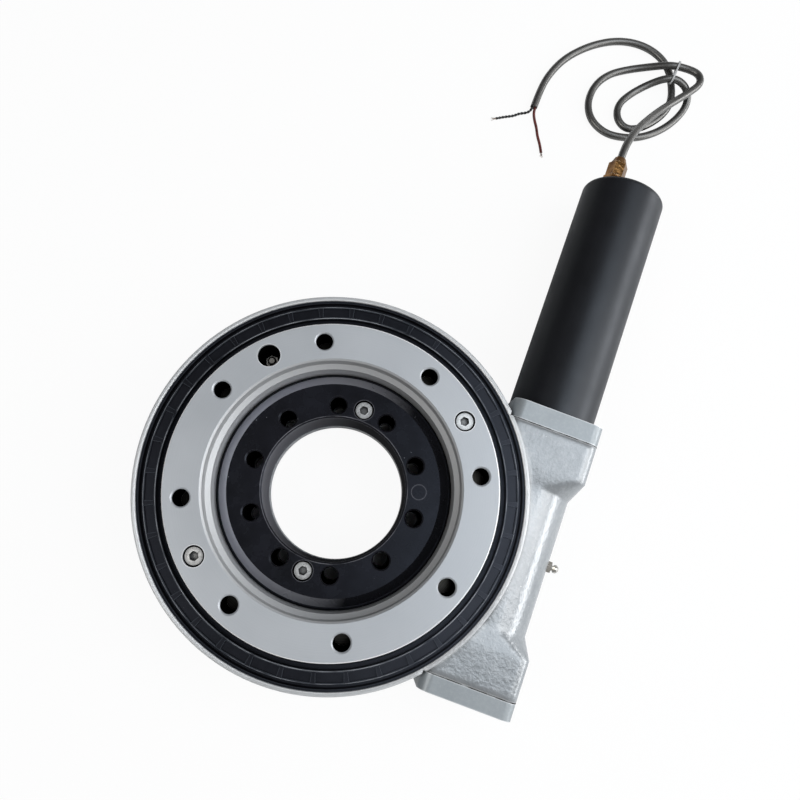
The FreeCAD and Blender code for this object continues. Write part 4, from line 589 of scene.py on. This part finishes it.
def tubeSurface(line, radius, sides):
    # tube: point(i, j) = line(i) + radius (cos a level(i) + sin a upright(i)),
    # a = 2 pi j / sides, with a face at each end
    level, upright = crossDirections(line)
    angle = np.linspace(0.0, 2 * np.pi, sides, endpoint=False)[None, :, None]
    across = np.cos(angle) * level[:, None] + np.sin(angle) * upright[:, None]
    points = line[:, None] + radius * across
    grid = np.arange(len(line) * sides).reshape(len(line), sides)
    beside = np.roll(grid, -1, axis=1)
    quads = np.stack([grid[:-1], grid[1:], beside[1:], beside[:-1]], axis=-1).reshape(-1, 4)
    ends = np.stack([grid[0], grid[-1][::-1]])
    return points.reshape(-1, 3), quads, ends


def newPiece(name, tubes, finish, body):
    # one object of several tubes, each given as its points, quads and end faces
    points = np.concatenate([tube[0] for tube in tubes])
    faces = []
    start = 0
    for corners, quads, ends in tubes:
        faces += (quads + start).tolist() + (ends + start).tolist()
        start += len(corners)
    mesh = bpy.data.meshes.new(name)
    mesh.from_pydata(points.tolist(), [], faces)
    mesh.shade_smooth()
    mesh.set_sharp_from_angle(angle=sharpAngle)
    mesh.materials.append(finishes[finish])
    thing = addObject(name, mesh)
    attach(thing, body)
    return thing


# Bare wires that fan out of a lead's end
wireTip = {
    "count": 9,
    "radius": 0.00016,
    "length": 0.0046,
    "shorter": 0.25,  # half the share by which lengths differ
    "lengthStep": 1.7,
    "turnStep": 2.399963,  # golden angle
    "fan": 0.0011,
    "start": 0.00055,
    "lowest": 0.0003,
    "rows": 7,
    "sides": 6,
}


def makeTip(name, line):
    # wire k: end + t reach run + (start + fan t^2) across, t from 0 to 1 along the wire,
    # with a reach and a direction across of its own
    level, upright = crossDirections(line)
    run = (line[-1] - line[-2]) / np.linalg.norm(line[-1] - line[-2])
    along = np.linspace(0.0, 1.0, wireTip["rows"])[:, None]
    shorter = wireTip["shorter"]
    tubes = []
    for k in range(wireTip["count"]):
        angle = wireTip["turnStep"] * k
        share = math.sqrt((k + 0.5) / wireTip["count"])
        across = share * (math.cos(angle) * level[-1] + math.sin(angle) * upright[-1])
        reach = wireTip["length"] * (1 - shorter + shorter * math.cos(wireTip["lengthStep"] * k))
        spreadOut = wireTip["start"] + wireTip["fan"] * along ** 2
        wire = line[-1] + along * reach * run + spreadOut * across
        wire[:, 2] = np.maximum(wire[:, 2], wireTip["lowest"])
        tubes.append(tubeSurface(wire, wireTip["radius"], wireTip["sides"]))
    return newPiece(name, tubes, "bare_wire", "base")


def makeCords():
    sheath = routeCurve("cableSheath", cable["route"], cable["diameter"] / 2)
    sheath.data.materials.append(finishes["cable_sheath"])
    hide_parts("cable")
    # the black lead is a twisted pair, as two tubes wound round its route
    blackLine = routeLine(blackCore["route"])
    strands = [twistLine(blackLine, blackCore["offset"], blackCore["twist"], phase)
               for phase in (0.0, math.pi)]
    tubes = [tubeSurface(strand, blackCore["strand"], blackCore["sides"]) for strand in strands]
    black = newPiece("blackCoreLead", tubes, "core_black", "base")
    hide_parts("black_core")
    red = routeCurve("redCoreLead", redCore["route"], redCore["diameter"] / 2)
    red.data.materials.append(finishes["core_red"])
    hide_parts("red_core")
    for thing, slot in ((sheath, "cable_sheath"), (red, "core_red")):
        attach(thing, "base")
    blackTip = makeTip("blackLeadTip", blackLine)
    redTip = makeTip("redLeadTip", routeLine(redCore["route"]))


makeCords()
print("cords laid")

# Pale floor, window-like light from the right, camera as in the photograph
studio = {
    "floorSize": 4.0,
    "floorDrop": 0.0003,
    "floorTone": 0.86,
    "floorRoughness": 0.9,
    "floorShine": 0.1,
    "floorGlow": 0.93,
    "shadeInner": 0.0508,  # the fixed ring's bore
    "shadeOuter": 0.137,  # the drum
    "horizon": 0.62,
    "zenith": 0.30,
    "zenithFrom": (0.0, 0.8),
    "shadySide": 0.20,
    "shadyFrom": (-0.6, 0.3),
    "cameraPlace": (0.0274, -0.0183, 0.5696),
    "cameraTurn": (9.9925, -3.0459, 20.1819),
    "lens": 32.42,
    "sensor": 36.0,
    "clipStart": 0.01,
}
lamps = {
    "window": {"place": (1.5, 0.45, 0.38), "aim": (0.12, 0.1, 0.03), "size": (1.6, 0.45),
               "power": 13.0, "tone": (0.97, 0.985, 1.0)},
    "key": {"place": (1.20, 0.25, 1.15), "aim": (0.05, 0.05, 0.05), "size": (1.0, 0.9),
            "power": 8.5, "tone": (0.98, 0.99, 1.0)},
    "panel": {"place": (0.66, 0.45, 1.5), "aim": (0.66, 0.45, 0.0), "size": (1.0, 1.4),
              "power": 10.0, "tone": (0.86, 0.93, 1.0)},
    "fill": {"place": (-0.8, -0.6, 1.3), "aim": (0.0, 0.0, 0.05), "size": (0.9, 0.9),
             "power": 8.0, "tone": (1.0, 0.99, 0.97)},
}


def makeFloor():
    reach = studio["floorSize"] / 2
    corners = np.array([(-1, -1), (1, -1), (1, 1), (-1, 1)]) * reach
    points = np.column_stack([corners, np.full(len(corners), -studio["floorDrop"])])
    mesh = bpy.data.meshes.new("floor")
    mesh.from_pydata(points.tolist(), [], [(0, 1, 2, 3)])
    floor = addObject("floor", mesh)
    material, tree, shader, place = startFinish("floorPaper", {
        "Base Color": (studio["floorTone"],) * 3 + (1.0,), "Roughness": studio["floorRoughness"],
        "Specular IOR Level": studio["floorShine"]})
    glow = addNode(tree, "Emission", {"Strength": 1.0})
    rays = addNode(tree, "LightPath").outputs
    seen = math2(tree, "MAXIMUM", rays["Is Camera Ray"], rays["Is Transmission Ray"])
    # the paper under the drive's rings shows no glow, so the bolt holes stay dark
    hidden = ringBand(tree, place, studio["shadeInner"], studio["shadeOuter"])
    seen = math2(tree, "MULTIPLY", seen, math2(tree, "SUBTRACT", 1.0, hidden))
    share = math2(tree, "MULTIPLY", seen, studio["floorGlow"])
    mix = addNode(tree, "MixShader", {0: share, 1: shader.outputs[0], 2: glow.outputs[0]})
    tree.links.new(mix.outputs[0], tree.nodes["Material Output"].inputs["Surface"])
    mesh.materials.append(material)


def makeWorld():
    world = bpy.data.worlds.new("studioWorld")
    bpy.context.scene.world = world
    world.use_nodes = True
    tree = world.node_tree
    background = tree.nodes["Background"]
    direction = addNode(tree, "TexCoord").outputs["Generated"]
    parts = addNode(tree, "SeparateXYZ", {0: direction}).outputs
    level = spread(tree, parts["Z"], studio["horizon"], studio["zenith"], *studio["zenithFrom"])
    # the side away from the window is darker
    side = spread(tree, parts["X"], studio["shadySide"], 1.0, *studio["shadyFrom"])
    seen = addNode(tree, "LightPath").outputs["Is Camera Ray"]
    strength = mixNumbers(tree, seen, math2(tree, "MULTIPLY", level, side), 1.0)
    tree.links.new(strength, background.inputs["Strength"])
    background.inputs["Color"].default_value = (1.0, 1.0, 1.0, 1.0)


def makeLamps():
    for name, lamp in lamps.items():
        light = bpy.data.lights.new(name, "AREA")
        light.shape = "RECTANGLE"
        light.size, light.size_y = lamp["size"]
        light.energy = lamp["power"]
        light.color = lamp["tone"]
        thing = addObject(name, light)
        thing.location = lamp["place"]
        beam = Vector(lamp["aim"]) - Vector(lamp["place"])
        thing.rotation_euler = beam.to_track_quat("-Z", "Y").to_euler()


def makeCamera():
    data = bpy.data.cameras.new("photoCamera")
    data.lens = studio["lens"]
    data.sensor_width = studio["sensor"]
    data.clip_start = studio["clipStart"]
    thing = addObject("photoCamera", data)
    thing.location = studio["cameraPlace"]
    thing.rotation_euler = [math.radians(angle) for angle in studio["cameraTurn"]]
    bpy.context.scene.camera = thing


makeFloor()
makeWorld()
makeLamps()
makeCamera()
bpy.context.scene.view_settings.view_transform = "Standard"
print("studio set")

bpy.context.view_layer.update()
